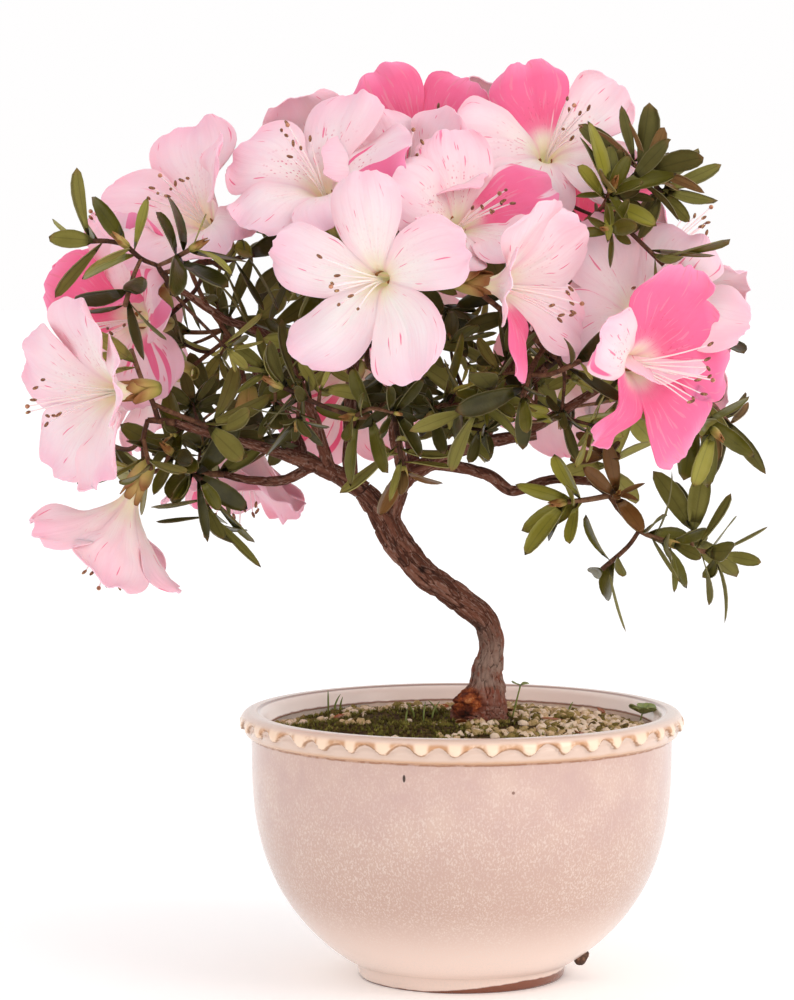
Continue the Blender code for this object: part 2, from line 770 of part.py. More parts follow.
def place_blooms(masses, kept):
    """Sets every bloom in its place, each lobe folded forward as far as its neighbours need.

    Crowded blooms of one mass may run into each other, but never into another mass.
    """
    for name, (owner, *place, wide) in BLOOMS.items():
        openness = [wide] * LOBES
        if fold_lobes(kept, owner, place, openness, ("bloom",)):
            openness = [wide] * LOBES
            if fold_lobes(kept, owner, place, openness, ()):
                continue
        solid = bloom_solid(*place, openness)[:2]
        masses[owner].solids.append(solid)
        kept.add(owner, solid, "bloom:" + name)
        masses[owner].blooms.append(name)


def reach_blooms(mass, kept):
    """A twig to the foot of every bloom of a mass."""
    for name in mass.blooms:
        _, mouth, facing, _, size, _ = BLOOMS[name]
        way = Vector(facing).normalized()
        target = bloom_base(mouth, facing, size) + way * TWIG_SINK
        grow_twig(mass, kept, target, way, ("bloom:" + name,))


def grow_tips(mass, kept):
    """Named tips first, then seeded ones spread through the space of the mass."""
    for place, facing in mass.named:
        end = grow_twig(mass, kept, Vector(place), Vector(facing).normalized())
        if end:
            end.has_bud = True
            end.leaves = LEAVES_AT_NAMED_TIP
            mass.ends.append(end)
    missing = mass.tips
    for _ in range(TIP_TRIES):
        if not missing:
            break
        away = Vector([mass.dice.uniform(-1, 1) * reach for reach in mass.reach])
        place = mass.heart + away
        spread = min([(place - other.place).length for other in mass.ends] or [TWIG_SPREAD])
        if not mass.inside(place) or spread < TWIG_SPREAD:
            continue
        end = grow_twig(mass, kept, place, (away.normalized() + Vector((0, 0, 0.35))).normalized())
        if end:
            mass.ends.append(end)
            missing -= 1


def grow_leaves(mass, kept):
    """A whorl of leaves at each tip, and a bud at some. What would touch something is skipped."""
    for number, end in enumerate(mass.ends):
        clear = bud_solid(end.place, end.way, GAP + 0.1)
        if end.has_bud and not kept.touches(clear, mass.name, ("bloom", "leaf")):
            bud = bud_solid(end.place, end.way)
            mass.solids.append(bud)
            kept.add(mass.name, bud, f"bud:{number}")
        mine = (end.twig, f"bud:{number}", f"leaf:{number}")
        across = end.way.orthogonal().normalized()
        start = mass.dice.uniform(0, 360)
        grown = 0
        for i in range(LEAF_TRIES):
            from_tip = LEAF_START + grown * LEAF_STEP
            if grown == end.leaves or from_tip > end.stretch:
                break
            around = Matrix.Rotation(math.radians(start + GOLDEN_TURN * i), 3, end.way)
            tilt = math.radians(mass.dice.uniform(*LEAF_TILT))
            length = mass.dice.uniform(*LEAF_LENGTH)
            out = around @ across
            along = end.way * math.cos(tilt) + out * math.sin(tilt)
            normal = end.way * math.sin(tilt) - out * math.cos(tilt)
            root = end.place - end.way * from_tip - along * LEAF_SINK
            swollen = leaf_solid(root, along, normal, length, GAP + 0.1)
            if kept.touches(swollen, mass.name, ("bloom", "twig", "bud", "leaf", "stem"), mine):
                continue
            leaf = leaf_solid(root, along, normal, length)
            mass.solids.append(leaf)
            kept.add(mass.name, leaf, f"leaf:{number}")
            grown += 1


def keep_main_body(mesh):
    """Leaves only the largest shell, which fills sealed hollows and drops loose scraps."""
    shape = bmesh.new()
    shape.from_mesh(mesh)
    bmesh.ops.triangulate(shape, faces=shape.faces)
    left = set(shape.faces)
    shells = []
    while left:
        seed = left.pop()
        shell, front = [seed], [seed]
        while front:
            face = front.pop()
            for edge in face.edges:
                for other in edge.link_faces:
                    if other in left:
                        left.discard(other)
                        shell.append(other)
                        front.append(other)
        volume = sum(
            face.verts[0].co.dot(face.verts[1].co.cross(face.verts[2].co)) / 6 for face in shell
        )
        shells.append((volume, shell))
    shells.sort(key=lambda pair: pair[0], reverse=True)
    for _, shell in shells[1:]:
        bmesh.ops.delete(shape, geom=shell, context="FACES")
    shape.to_mesh(mesh)
    shape.free()


def fuse(mass):
    """Joins a mass's stem, twigs, buds, leaves and blooms into one solid."""
    stem = add_object(mass.name, *mass.stem, "mass")
    pieces = bpy.data.collections.new(mass.name + "_pieces")
    bpy.context.scene.collection.children.link(pieces)
    for i, (points, faces) in enumerate(mass.solids):
        add_object(f"{mass.name}_piece_{i}", points, faces, None, pieces)
    boolean(stem, "UNION", pieces)
    bpy.context.view_layer.update()
    apply_modifiers(stem)
    for piece in list(pieces.objects):
        bpy.data.objects.remove(piece)
    bpy.data.collections.remove(pieces)
    keep_main_body(stem.data)


def main():
    for old in list(bpy.data.objects):
        bpy.data.objects.remove(old)

    pot = add_object("pot", *lathe(pot_profile(), POT_SIDES), "pot")
    shade_round(pot)
    soil = add_object("soil", *soil_solid(), "soil")
    shade_round(soil)

    made = limbs()
    build_limbs(made)

    kept = Kept()
    for name, limb in made.items():
        kept.add(name, limb.solid(BOUGH_SIDES))
    masses = {name: Mass(name, made) for name in MASSES}
    for mass in masses.values():
        kept.add(mass.name, mass.stem, "stem")
    place_blooms(masses, kept)
    for step in (reach_blooms, grow_tips, grow_leaves):
        for mass in masses.values():
            step(mass, kept)
    for mass in masses.values():
        fuse(mass)


main()
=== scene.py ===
# %% [markdown]
# # An azalea bonsai in a glazed bowl
#
# A small azalea trained as a bonsai stands in a round stoneware bowl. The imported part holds
# the true sizes: pot, soil, trunk, boughs and twelve masses of foliage. This lesson keeps
# them as they are and gives each its looks: bark with relief, petals with ruffled edges,
# whorls of leaves, a flecked glaze with a scalloped rim, and a bed of pumice and moss.

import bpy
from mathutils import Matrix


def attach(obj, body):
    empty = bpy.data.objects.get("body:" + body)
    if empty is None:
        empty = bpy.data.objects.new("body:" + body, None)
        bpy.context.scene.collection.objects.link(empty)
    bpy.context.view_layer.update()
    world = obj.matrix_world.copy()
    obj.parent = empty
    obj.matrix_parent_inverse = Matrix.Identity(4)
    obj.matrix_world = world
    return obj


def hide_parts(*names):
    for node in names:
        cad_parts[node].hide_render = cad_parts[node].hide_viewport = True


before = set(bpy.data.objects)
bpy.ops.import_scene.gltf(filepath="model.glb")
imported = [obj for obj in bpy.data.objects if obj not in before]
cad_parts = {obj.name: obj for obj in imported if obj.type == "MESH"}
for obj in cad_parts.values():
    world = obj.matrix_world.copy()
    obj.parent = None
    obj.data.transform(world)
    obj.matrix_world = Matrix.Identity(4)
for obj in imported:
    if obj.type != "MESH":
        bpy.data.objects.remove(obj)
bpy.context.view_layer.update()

# %% [markdown]
# ## Units, colours and nodes
#
# The plant is easiest to think of in millimetres, and Blender works in metres, so shapes are
# worked out in millimetres and scaled once, when their mesh is made. Colours are written as
# the sRGB hex values that a colour picker shows. Shaders work with linear light, so one
# function turns a hex value into linear numbers. Another one adds a node, sets it and links
# it, which keeps every material below short.

# %% Units, colours and nodes
import math
import random

import bpy
import numpy as np
from mathutils import Matrix, Vector, noise
from mathutils.bvhtree import BVHTree

MM = 0.001


def colour(code):
    """An sRGB hex value as linear red, green and blue, with full opacity."""
    parts = [int(code[i : i + 2], 16) / 255 for i in (1, 3, 5)]
    return (*[p / 12.92 if p <= 0.04045 else ((p + 0.055) / 1.055) ** 2.4 for p in parts], 1.0)


def add_node(tree, kind, inputs=None, **settings):
    """Adds a node with its settings. An input takes a value, or the output that feeds it."""
    made = tree.nodes.new(kind)
    for name, value in settings.items():
        setattr(made, name, value)
    for name, value in (inputs or {}).items():
        if isinstance(value, bpy.types.NodeSocket):
            tree.links.new(value, made.inputs[name])
        else:
            made.inputs[name].default_value = value
    return made


def new_finish(name, base, roughness, sockets=None):
    """A material with its base colour, roughness and other fixed sockets set on the shader."""
    made = bpy.data.materials.new(name)
    made.use_nodes = True
    shader = made.node_tree.nodes["Principled BSDF"]
    shader.inputs["Base Color"].default_value = colour(base)
    shader.inputs["Roughness"].default_value = roughness
    for socket, value in (sockets or {}).items():
        shader.inputs[socket].default_value = value
    return made, made.node_tree, shader


# %% [markdown]
# ## Patterns for materials
#
# Nearly every surface here is coloured in the same few ways: a noise that is read from the
# object's own coordinates or from a mark on the mesh, a ramp that turns it into colours,
# a share that rises between two values, and one colour laid over another by such a share.
# Each of these gets a short word. A word finds its node tree from the values it is given, so
# the materials below read like a list of layers, from the ground up.

# %% Patterns for materials


def maths(kind, *values, **settings):
    """One sum on values, of which at least one comes out of a node."""
    tree = next(value.id_data for value in values if isinstance(value, bpy.types.NodeSocket))
    inputs = dict(enumerate(values))
    return add_node(tree, "ShaderNodeMath", inputs, operation=kind, **settings).outputs[0]


def product(first, *others):
    """Values multiplied with each other, mostly shares that all have to be met."""
    for other in others:
        first = maths("MULTIPLY", first, other)
    return first


def slope(value, start, stop, most=1.0, kind="SMOOTHSTEP"):
    """A share that runs from nothing at start to the most at stop, and stays there."""
    ends = {"Value": value, "From Min": start, "From Max": stop, "To Max": most}
    return add_node(value.id_data, "ShaderNodeMapRange", ends, interpolation_type=kind).outputs[0]


def spots(place, scale, detail=2.0, roughness=0.5):
    """Noise at a place in metres, so that a scale of 1000 makes spots of about a millimetre."""
    inputs = {"Vector": place, "Scale": scale, "Detail": detail, "Roughness": roughness}
    return add_node(place.id_data, "ShaderNodeTexNoise", inputs).outputs["Fac"]


def ramp(value, *stops):
    """Colours that follow a value."""
    made = add_node(value.id_data, "ShaderNodeValToRGB", {"Fac": value})
    elements = made.color_ramp.elements
    elements.remove(elements[1])
    elements[0].position, elements[0].color = stops[0][0], colour(stops[0][1])
    for place, code in stops[1:]:
        elements.new(place).color = colour(code)
    return made.outputs["Color"]


def lay_on(under, share, over):
    """Mixes a colour over another by a share. Each colour is a hex value or a node's output."""
    low, top = [colour(layer) if isinstance(layer, str) else layer for layer in (under, over)]
    inputs = {0: share, 6: low, 7: top}
    return add_node(share.id_data, "ShaderNodeMix", inputs, data_type="RGBA").outputs[2]


def own_place(tree):
    """Where a point lies in its object, in metres."""
    return add_node(tree, "ShaderNodeTexCoord").outputs["Object"]


def own_flat(tree):
    """The two flat coordinates that every shape of a bundle brings."""
    flat = add_node(tree, "ShaderNodeUVMap", uv_map="own").outputs["UV"]
    return add_node(tree, "ShaderNodeSeparateXYZ", {"Vector": flat}).outputs[:2]


def mark_of(tree, name):
    """A number that the mesh carries on its points."""
    return add_node(tree, "ShaderNodeAttribute", attribute_name=name).outputs["Fac"]


def feed(shader, socket, value):
    shader.id_data.links.new(value, shader.inputs[socket])


def add_bump(shader, height, strength, distance):
    """Fine relief that only the light sees."""
    inputs = {"Height": height, "Strength": strength, "Distance": distance}
    feed(shader, "Normal", add_node(shader.id_data, "ShaderNodeBump", inputs).outputs["Normal"])


# %% [markdown]
# ## Camera, floor and light
#
# The camera stands where the photographer stood: 1.4 m away, a little above the pot, looking
# down by five degrees through a long lens. Its place was worked out from the ellipses of the
# pot's rim and foot. The studio is bright and even, as for a catalogue: a white world lights
# the plant from all round, and one large soft lamp at the right front gives the pot and the
# petals their modelling. The floor is a white board that glows a little, as a board lit from
# below does, so the light also reaches the underside of the bowl.

# %% Camera, floor and light
CAMERA_PLACE = (-0.022, -1.400, 0.2793)
CAMERA_PITCH = 4.77
CAMERA_LENS = 149.3
SENSOR_WIDTH = 36
SIGHT = 20
FLOOR_REACH = 6.0
FLOOR_GLOW = 0.1
WORLD_LIGHT = 1.0
PLANT_MIDDLE = Vector((0, 0, 0.17))


def put_in_scene(name, data):
    """A new object in the scene."""
    made = bpy.data.objects.new(name, data)
    bpy.context.scene.collection.objects.link(made)
    return made


camera = put_in_scene("camera", bpy.data.cameras.new("camera"))
camera.location = CAMERA_PLACE
camera.rotation_euler = (math.radians(90 - CAMERA_PITCH), 0, 0)
camera.data.lens = CAMERA_LENS
camera.data.sensor_width = SENSOR_WIDTH
camera.data.clip_end = SIGHT
bpy.context.scene.camera = camera

# White and matt, so that it shows nothing but a faint soft shadow.
board = {"Emission Strength": FLOOR_GLOW, "Emission Color": colour("#FFFDFC")}
floor_finish, tree, shader = new_finish("lit studio board", "#FFFFFF", 0.8, board)
add_bump(shader, spots(own_place(tree), 75.0), 0.05, 0.0002)
floor_mesh = bpy.data.meshes.new("floor")
corners = [(-1, -1), (1, -1), (1, 1), (-1, 1)]
floor_mesh.from_pydata([(x * FLOOR_REACH, y * FLOOR_REACH, 0) for x, y in corners], [], [(0, 1, 2, 3)])
floor_mesh.materials.append(floor_finish)
floor = put_in_scene("floor", floor_mesh)

world = bpy.context.scene.world or bpy.data.worlds.new("studio")
bpy.context.scene.world = world
world.use_nodes = True
background = world.node_tree.nodes["Background"]
background.inputs["Color"].default_value = colour("#FFFEFE")
background.inputs["Strength"].default_value = WORLD_LIGHT


def soft_lamp(name, place, size, watts, tint):
    """A square lamp that faces the middle of the plant."""
    lamp = put_in_scene(name, bpy.data.lights.new(name, "AREA"))
    lamp.data.size = size
    lamp.data.energy = watts
    lamp.data.color = colour(tint)[:3]
    lamp.location = place
    lamp.rotation_euler = (PLANT_MIDDLE - Vector(place)).to_track_quat("-Z", "Y").to_euler()


soft_lamp("key lamp", (1.3, -1.0, 1.1), 0.9, 8.0, "#FFF6F0")
soft_lamp("low fill", (0.6, -1.2, 0.12), 0.5, 1.6, "#FFF2EC")
bpy.context.scene.view_settings.view_transform = "Standard"
print("camera at", CAMERA_PLACE, "lens", CAMERA_LENS, "mm")

# %% [markdown]
# ## Joining small shapes
#
# A plant is thousands of small shapes of a few kinds. Thousands of objects would be slow, so
# shapes of one kind are gathered as arrays and made into one mesh. Each shape brings its own
# flat coordinates, for patterns that follow a petal or a leaf, and gets its own square of a
# second map, so that a baked picture of the colours keeps shapes apart.

# %% Joining small shapes


class Bundle:
    """Shapes of one kind on their way to being one mesh."""

    def __init__(self, *marks):
        self.points, self.faces, self.corners, self.cells, self.slots = [], [], [], [], []
        self.marks = {name: [] for name in marks}
        self.total = 0

    def add(self, points, layout, slots=0, **marks):
        """Takes points, a layout of faces with flat coordinates, and marks for its points."""
        faces, own, cell = layout
        self.points.append(np.asarray(points, float))
        self.faces += [tuple(corner + self.total for corner in face) for face in faces]
        self.corners.append(own)
        self.cells.append(cell)
        self.slots += [slots] * len(faces) if isinstance(slots, int) else list(slots)
        for name, value in marks.items():
            self.marks[name].append(np.broadcast_to(value, len(points)))
        self.total += len(points)

    def make(self, name, *finishes, columns=None):
        """Joins everything into one smooth object with these materials."""
        mesh = bpy.data.meshes.new(name)
        mesh.from_pydata(np.concatenate(self.points) * MM, [], self.faces)
        for finish in finishes:
            mesh.materials.append(finish)
        mesh.polygons.foreach_set("material_index", np.array(self.slots, np.int32))
        across = columns or math.ceil(math.sqrt(len(self.cells)))
        down = math.ceil(len(self.cells) / across)
        squares = [
            (np.array((i % across, i // across)) + 0.04 + 0.92 * cell) / (across, down)
            for i, cell in enumerate(self.cells)
        ]
        for layer, flat in (("OFBake", squares), ("own", self.corners)):
            mesh.uv_layers.new(name=layer).data.foreach_set("uv", np.concatenate(flat).ravel())
        for mark, values in self.marks.items():
            layer = mesh.attributes.new(mark, "FLOAT", "POINT")
            layer.data.foreach_set("value", np.concatenate(values).astype(np.float32))
        mesh.shade_smooth()
        obj = put_in_scene(name, mesh)
        print(f"{name}: {len(self.cells)} shapes, {sum(len(f) - 2 for f in self.faces)} triangles")
        return obj


def flat_corners(faces, flat):
    """The flat coordinates of every corner of every face, from those of the points."""
    return np.array([flat[corner] for face in faces for corner in face], float)


def sheet_layout(across, along):
    """A grid on both sides of a thin sheet, and its edge, with flat coordinates.

    The points are the rows of the upper side, then those of the lower side.
    """
    columns = across + 1
    under = columns * (along + 1)
    top, low, edge = [], [], []
    for i in range(along):
        for j in range(across):
            a = i * columns + j
            quad = (a, a + 1, a + columns + 1, a + columns)
            top.append(quad)
            low.append(tuple(under + corner for corner in reversed(quad)))
    ring = [i * columns for i in range(along)] + [along * columns + j for j in range(across)]
    ring += [i * columns + across for i in range(along, 0, -1)] + list(range(across, 0, -1))
    for k, a in enumerate(ring):
        b = ring[(k + 1) % len(ring)]
        edge.append((a, b, b + under, a + under))
    flat = [(j / across, i / along) for i in range(along + 1) for j in range(columns)] * 2
    faces = top + low + edge
    own = flat_corners(faces, flat)
    cell = own * (1, 0.48)
    cell[4 * len(top) : 8 * len(top), 1] += 0.52
    return faces, own, cell


# %% [markdown]
# ## Tubes along a path
#
# Trunk, boughs, twigs and stamens are all tubes that taper along a smooth path. A curve
# object with a bevel could do it, but bark needs relief, which differs round the tube, so the
# rings are worked out here. A Catmull-Rom curve is used because it runs through the points
# that it is given, and the rings turn as little as they can, so that the bark doesn't twist.

# %% Tubes along a path


def between(a, b, c, d, t):
    """A value on the Catmull-Rom curve from b to c."""
    bend = (2 * a - 5 * b + 4 * c - d) * t * t
    return 0.5 * (2 * b + (c - a) * t + bend + (3 * b - a - 3 * c + d) * t**3)


def catmull(points, steps):
    """Points on a smooth curve through the given ones, which may carry a radius too."""
    before = [2 * a - b for a, b in zip(points[0], points[1])]
    after = [2 * a - b for a, b in zip(points[-1], points[-2])]
    run = [before, *points, after]
    curve = []
    for i in range(1, len(run) - 2):
        for step in range(steps):
            curve.append([between(*four, step / steps) for four in zip(*run[i - 1 : i + 3])])
    curve.append(list(points[-1]))
    return curve


def tube(path, radii, sides, start_way=None, relief=None):
    """Points and faces of a closed tube. relief(ring, turn) scales the radius there."""
    points, faces = [], []
    before = None
    for i, centre in enumerate(path):
        along = (path[min(i + 1, len(path) - 1)] - path[max(i - 1, 0)]).normalized()
        if start_way and i == 0:
            along = start_way
        across = along.orthogonal() if before is None else before - along * before.dot(along)
        before = across.normalized()
        other = along.cross(before)
        for side in range(sides):
            turn = 2 * math.pi * side / sides
            radius = radii[i] * (relief(i, turn) if relief else 1.0)
            points.append(centre + (before * math.cos(turn) + other * math.sin(turn)) * radius)
    for i in range(len(path) - 1):
        for side in range(sides):
            after = (side + 1) % sides
            low = i * sides
            faces.append((low + side, low + after, low + sides + after, low + sides + side))
    faces.append(tuple(reversed(range(sides))))
    faces.append(tuple(range((len(path) - 1) * sides, len(path) * sides)))
    return points, faces


def tube_layout(sides, rings, faces):
    """Flat coordinates of a tube: round it across the square, along it up the square."""
    own = []
    for i in range(rings - 1):
        for side in range(sides):
            left, right = side / sides, (side + 1) / sides
            low, high = i / (rings - 1), (i + 1) / (rings - 1)
            own += [(left, low), (right, low), (right, high), (left, high)]
    own += [(side / sides, 0.0) for side in range(2 * sides)]
    own = np.array(own, float)
    return faces, own, own


def add_tube(bundle, stations, sides, steps, slots=0, start_way=None, relief=None, **marks):
    """Adds a tube through stations of x, y, z and radius."""
    curve = catmull(stations, steps)
    path = [Vector(stop[:3]) for stop in curve]
    points, faces = tube(path, [stop[3] for stop in curve], sides, start_way, relief)
    bundle.add(points, tube_layout(sides, len(path), faces), slots, **marks)


# %% [markdown]
# ## The limbs
#
# The trunk rises from the soil, bends to the left in an S and forks. Fourteen boughs leave it
# or each other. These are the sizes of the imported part, written again, because everything
# that follows grows on from the same limbs.

# %% The limbs
GAP = 0.3
SOIL_TOP = 87.5
RINGS_PER_SPAN = 2
BOUGH_SIDES = 6
# Stations of x, y, z and radius.
TRUNK = (
    (7.0, 0.0, SOIL_TOP + GAP, 9.5),
    (7.5, 0.0, 92.5, 6.5),
    (8.3, 0.0, 98.5, 5.2),
    (8.8, 1.0, 105.0, 4.9),
    (10.0, 2.0, 111.0, 4.0),
    (9.7, 2.0, 116.5, 4.2),
    (6.0, 0.0, 123.5, 4.4),
    (-4.5, -2.0, 132.0, 4.4),
    (-13.5, -4.0, 139.0, 4.4),
    (-18.5, -5.0, 144.5, 4.5),
    (-22.5, -5.0, 150.0, 4.7),
    (-26.0, -5.0, 157.0, 4.6),
    (-30.5, -5.2, 162.8, 4.0),
    (-33.5, -5.5, 166.0, 3.5),
)
FORK_ARM = (
    (-24.5, -5.0, 154.5, 3.4),
    (-24.0, -5.0, 160.5, 3.8),
    (-21.8, -5.0, 166.5, 3.6),
)
# Parent, place along it (none: from its end), radius at both ends, and the places run through.
BOUGHS = {
    "left_bough": ("trunk", None, 3.4, 2.3, ((-42, -7, 171.5), (-51, -9, 175.5), (-60, -11, 179))),
    "right_bough": ("fork_arm", None, 3.5, 1.9, ((-18, -6, 171.5), (-10.5, -6, 175.5), (-2, -5, 179.5),
        (11, -4, 183), (25, -4, 185))),
    "left_low_bough": ("left_bough", 0.62, 1.9, 1.2, ((-60, -10, 170), (-71, -11, 170), (-80, -12, 172))),
    "left_front_bough": ("left_bough", 0.84, 2.0, 1.3, ((-68, -20, 182), (-84, -30, 187), (-95, -37, 191))),
    "left_top_bough": ("left_bough", 0.42, 2.1, 1.1, ((-51, -14, 194), (-63, -20, 217), (-79, -29, 225),
        (-95, -37, 236))),
    "top_bough": ("left_bough", 0.16, 2.6, 1.5, ((-38, 2, 190), (-36, 5, 215), (-31, 3, 240))),
    "front_bough": ("right_bough", 0.14, 2.3, 1.3, ((-23, -20, 188), (-24, -34, 208), (-23, -44, 224))),
    "right_low_bough": ("right_bough", 0.42, 2.2, 1.4, ((8, -9, 172), (17, -11, 166.5), (30, -13, 170.5),
        (43, -15, 170))),
    "right_front_bough": ("right_bough", 0.56, 2.2, 1.4, ((12, -20, 192), (21, -33, 203), (27, -42, 210))),
    "right_top_bough": ("right_bough", 0.74, 2.1, 1.2, ((16, -8, 206), (24, -15, 230), (36, -26, 250))),
    "right_end_bough": ("right_bough", 0.9, 1.9, 1.2, ((36, -2, 194), (50, 3, 203), (61, 4, 209))),
    "back_left_bough": ("left_bough", 0.74, 2.1, 1.3, ((-58, 8, 187), (-68, 25, 201), (-75, 35, 212))),
    "back_bough": ("right_bough", 0.26, 2.4, 1.4, ((-18, 14, 186), (-24, 34, 200), (-27, 46, 210))),
    "back_right_bough": ("right_bough", 0.66, 2.2, 1.3, ((14, 12, 196), (26, 29, 207), (35, 39, 215))),
}


class Limb:
    """A trunk or bough: its stations, and its smooth path and radii."""

    def __init__(self, stations, start_way=None):
        self.stations = stations
        self.start_way = start_way
        curve = catmull(stations, RINGS_PER_SPAN)
        self.path = [Vector(point[:3]) for point in curve]
        self.radii = [point[3] for point in curve]

    def at(self, place):
        """The point at a share of its length."""
        scaled = place * (len(self.path) - 1)
        low = min(int(scaled), len(self.path) - 2)
        return self.path[low].lerp(self.path[low + 1], scaled - low)

    def tip(self):
        """Its end, the way it points there, and its radius."""
        return self.path[-1], (self.path[-1] - self.path[-2]).normalized(), self.radii[-1]


def grow_limbs():
    """All limbs by name, from the trunk outwards."""
    made = {"trunk": Limb(TRUNK, Vector((0, 0, 1))), "fork_arm": Limb(FORK_ARM)}
    for name, (parent, place, thick, thin, through) in BOUGHS.items():
        if place is None:
            end, along, _ = made[parent].tip()
            start = end + along * GAP
        else:
            start, along = made[parent].at(place), None
        stops = [tuple(start)] + list(through)
        last = len(stops) - 1
        stations = [(*stop, thick + (thin - thick) * i / last) for i, stop in enumerate(stops)]
        made[name] = Limb(stations, along)
    return made


limbs = grow_limbs()
print("limbs:", ", ".join(limbs))

# %% [markdown]
# ## Bark
#
# The bark of an old azalea is thin and flaky. It lies in long, narrow flakes of brown and
# pinkish grey with dark cracks between them, and is redder at the foot. The limbs are made
# again as tubes with many rings. A cell pattern that is stretched along the limb gives the
# flakes, and the radius follows it, so the relief is real and shows in the outline. How near
# a crack is and which flake it is are kept as marks on each point, and the colour uses them.
# The trunk also has a rotten knob at its foot, a fold half way up and a few hollows, which are darkened with
# painted shade.

# %% Bark
FLAKE_LENGTH = 8.0
FLAKE_WIDTH = 1.5
FLAKE_TWIST = 0.012
CRACK_WIDTH = 0.3
RELIEF_DEPTH = 0.7
SWELLING = 0.8
FULL_RELIEF_RADIUS = 4.5
ROOT_LOBES = 5
ROOT_LOBE_DEPTH = 0.10
ROOT_LOBE_REACH = 14.0
FLARE = 0.35
FLARE_LENGTH = 4.0
# Sides, and rings for each span, of the trunk with its fork, and of boughs.
TRUNK_MESH = (104, 18)
BOUGH_MESH = (24, 14)
# Centre, reach and lift of what stands out of the trunk or is sunk into it.
KNOB = (Vector((2.4, -4.0, 93.8)), 7.4, 2.1)
SWELLINGS = (
    (Vector((3.0, 0.0, 107.6)), 3.0, 1.3),
    (Vector((5.0, -2.5, 123.0)), 3.4, 1.0),
    (Vector((-12.5, -6.5, 135.5)), 6.0, 1.1),
    (Vector((14.0, -1.0, 99.0)), 3.4, 0.9),
)
HOLLOWS = (
    (Vector((3.9, -3.4, 100.6)), 1.9, -0.9),
    (Vector((4.6, -1.5, 118.3)), 2.8, -1.1),
    (Vector((-13.5, -8.0, 139.6)), 2.4, -0.9),
    (Vector((-10.0, -8.8, 140.2)), 2.4, -0.9),
    (Vector((-6.4, -8.0, 139.6)), 2.4, -0.8),
)
# Height, half height and lift of the swollen foot.
BULB = (94.0, 5.5, 1.9)
# Noise vectors start from the clock unless they get a seed, and the flakes would differ each run.
BARK_SEED = 5
noise.seed_set(BARK_SEED)


def flake(place, turn, radius):
    """How far a place is from a crack, from 0 to 1, and a random number for its flake."""
    twisted = turn + place * FLAKE_TWIST
    near = Vector(
        (
            math.cos(twisted) * radius / FLAKE_WIDTH,
            math.sin(twisted) * radius / FLAKE_WIDTH,
            place / FLAKE_LENGTH,
        )
    )
    near += noise.noise_vector(near * 0.8) * 0.5
    apart, centres = noise.voronoi(near)
    return min(1.0, (apart[1] - apart[0]) / CRACK_WIDTH), 0.5 + 0.5 * noise.noise(centres[0] * 5.3)


def add_bark(bundle, limb, sides, steps, is_trunk):
    """A limb with flakes of bark, flared where it leaves its parent."""
    curve = catmull(limb.stations, steps)
    path = [Vector(stop[:3]) for stop in curve]
    places = [0.0]
    for i in range(1, len(path)):
        places.append(places[-1] + (path[i] - path[i - 1]).length)
    crack, flakes = np.zeros((len(path), sides)), np.zeros((len(path), sides))
    # Each limb starts elsewhere in the pattern, so that no two are alike.
    run_start = 40 * limb.stations[0][3]

    def relief(ring, turn):
        """How much thicker or thinner the limb is at a place, as a factor."""
        radius = curve[ring][3]
        place = places[ring] + run_start
        side = round(turn / math.tau * sides)
        crack[ring, side], flakes[ring, side] = flake(place, turn, radius)
        height = crack[ring, side] * (0.5 + flakes[ring, side]) - 0.7
        swell = 1 + RELIEF_DEPTH * height * min(1.0, radius / FULL_RELIEF_RADIUS) / radius
        slow = noise.noise(Vector((math.cos(turn) * 0.8, math.sin(turn) * 0.8, place / 9)))
        swell += SWELLING * slow * min(1.0, radius / FULL_RELIEF_RADIUS) / radius
        if is_trunk:
            fade = max(0.0, 1 - places[ring] / ROOT_LOBE_REACH)
            swell += ROOT_LOBE_DEPTH * fade * math.cos(ROOT_LOBES * turn + 0.6)
        elif limb.start_way is None:
            swell += FLARE * max(0.0, 1 - places[ring] / FLARE_LENGTH) ** 2
        return swell

    radii = [stop[3] for stop in curve]
    points, faces = tube(path, radii, sides, limb.start_way, relief)
    hollow, knob = np.zeros(len(points)), np.zeros(len(points))
    for i, point in enumerate(points if is_trunk else []):
        out = (point - path[i // sides]).normalized()
        shift = 0.0
        for centre, reach, lift in (KNOB, *SWELLINGS, *HOLLOWS):
            near = (point - centre).length / reach
            if near < 1:
                shift += lift * (1 - near**2) ** 2
                hollow[i] += (lift < 0) * (1 - near**2) ** 2
        knob[i] = max(0.0, 1 - ((point - KNOB[0]).length / KNOB[1]) ** 2)
        bulb = math.exp(-(((point.z - BULB[0]) / BULB[1]) ** 2)) * min(1.0, (point.z - SOIL_TOP) / 3)
        shift += BULB[2] * bulb + (0.5 * bulb + 1.3 * knob[i] ** 0.5) * noise.noise(point * 0.8)
        points[i] = point + out * shift
    bundle.add(
        points,
        tube_layout(sides, len(path), faces),
        crack=crack.ravel(),
        flake=flakes.ravel(),
        hollow=hollow,
        knob=knob,
        run=np.repeat(places, sides),
        thick=np.repeat(radii, sides),
    )


BARK_MARKS = ("crack", "flake", "hollow", "knob", "run", "thick")
bark = Bundle(*BARK_MARKS)
for name, limb in limbs.items():
    fineness = TRUNK_MESH if name in ("trunk", "fork_arm") else BOUGH_MESH
    add_bark(bark, limb, *fineness, name == "trunk")
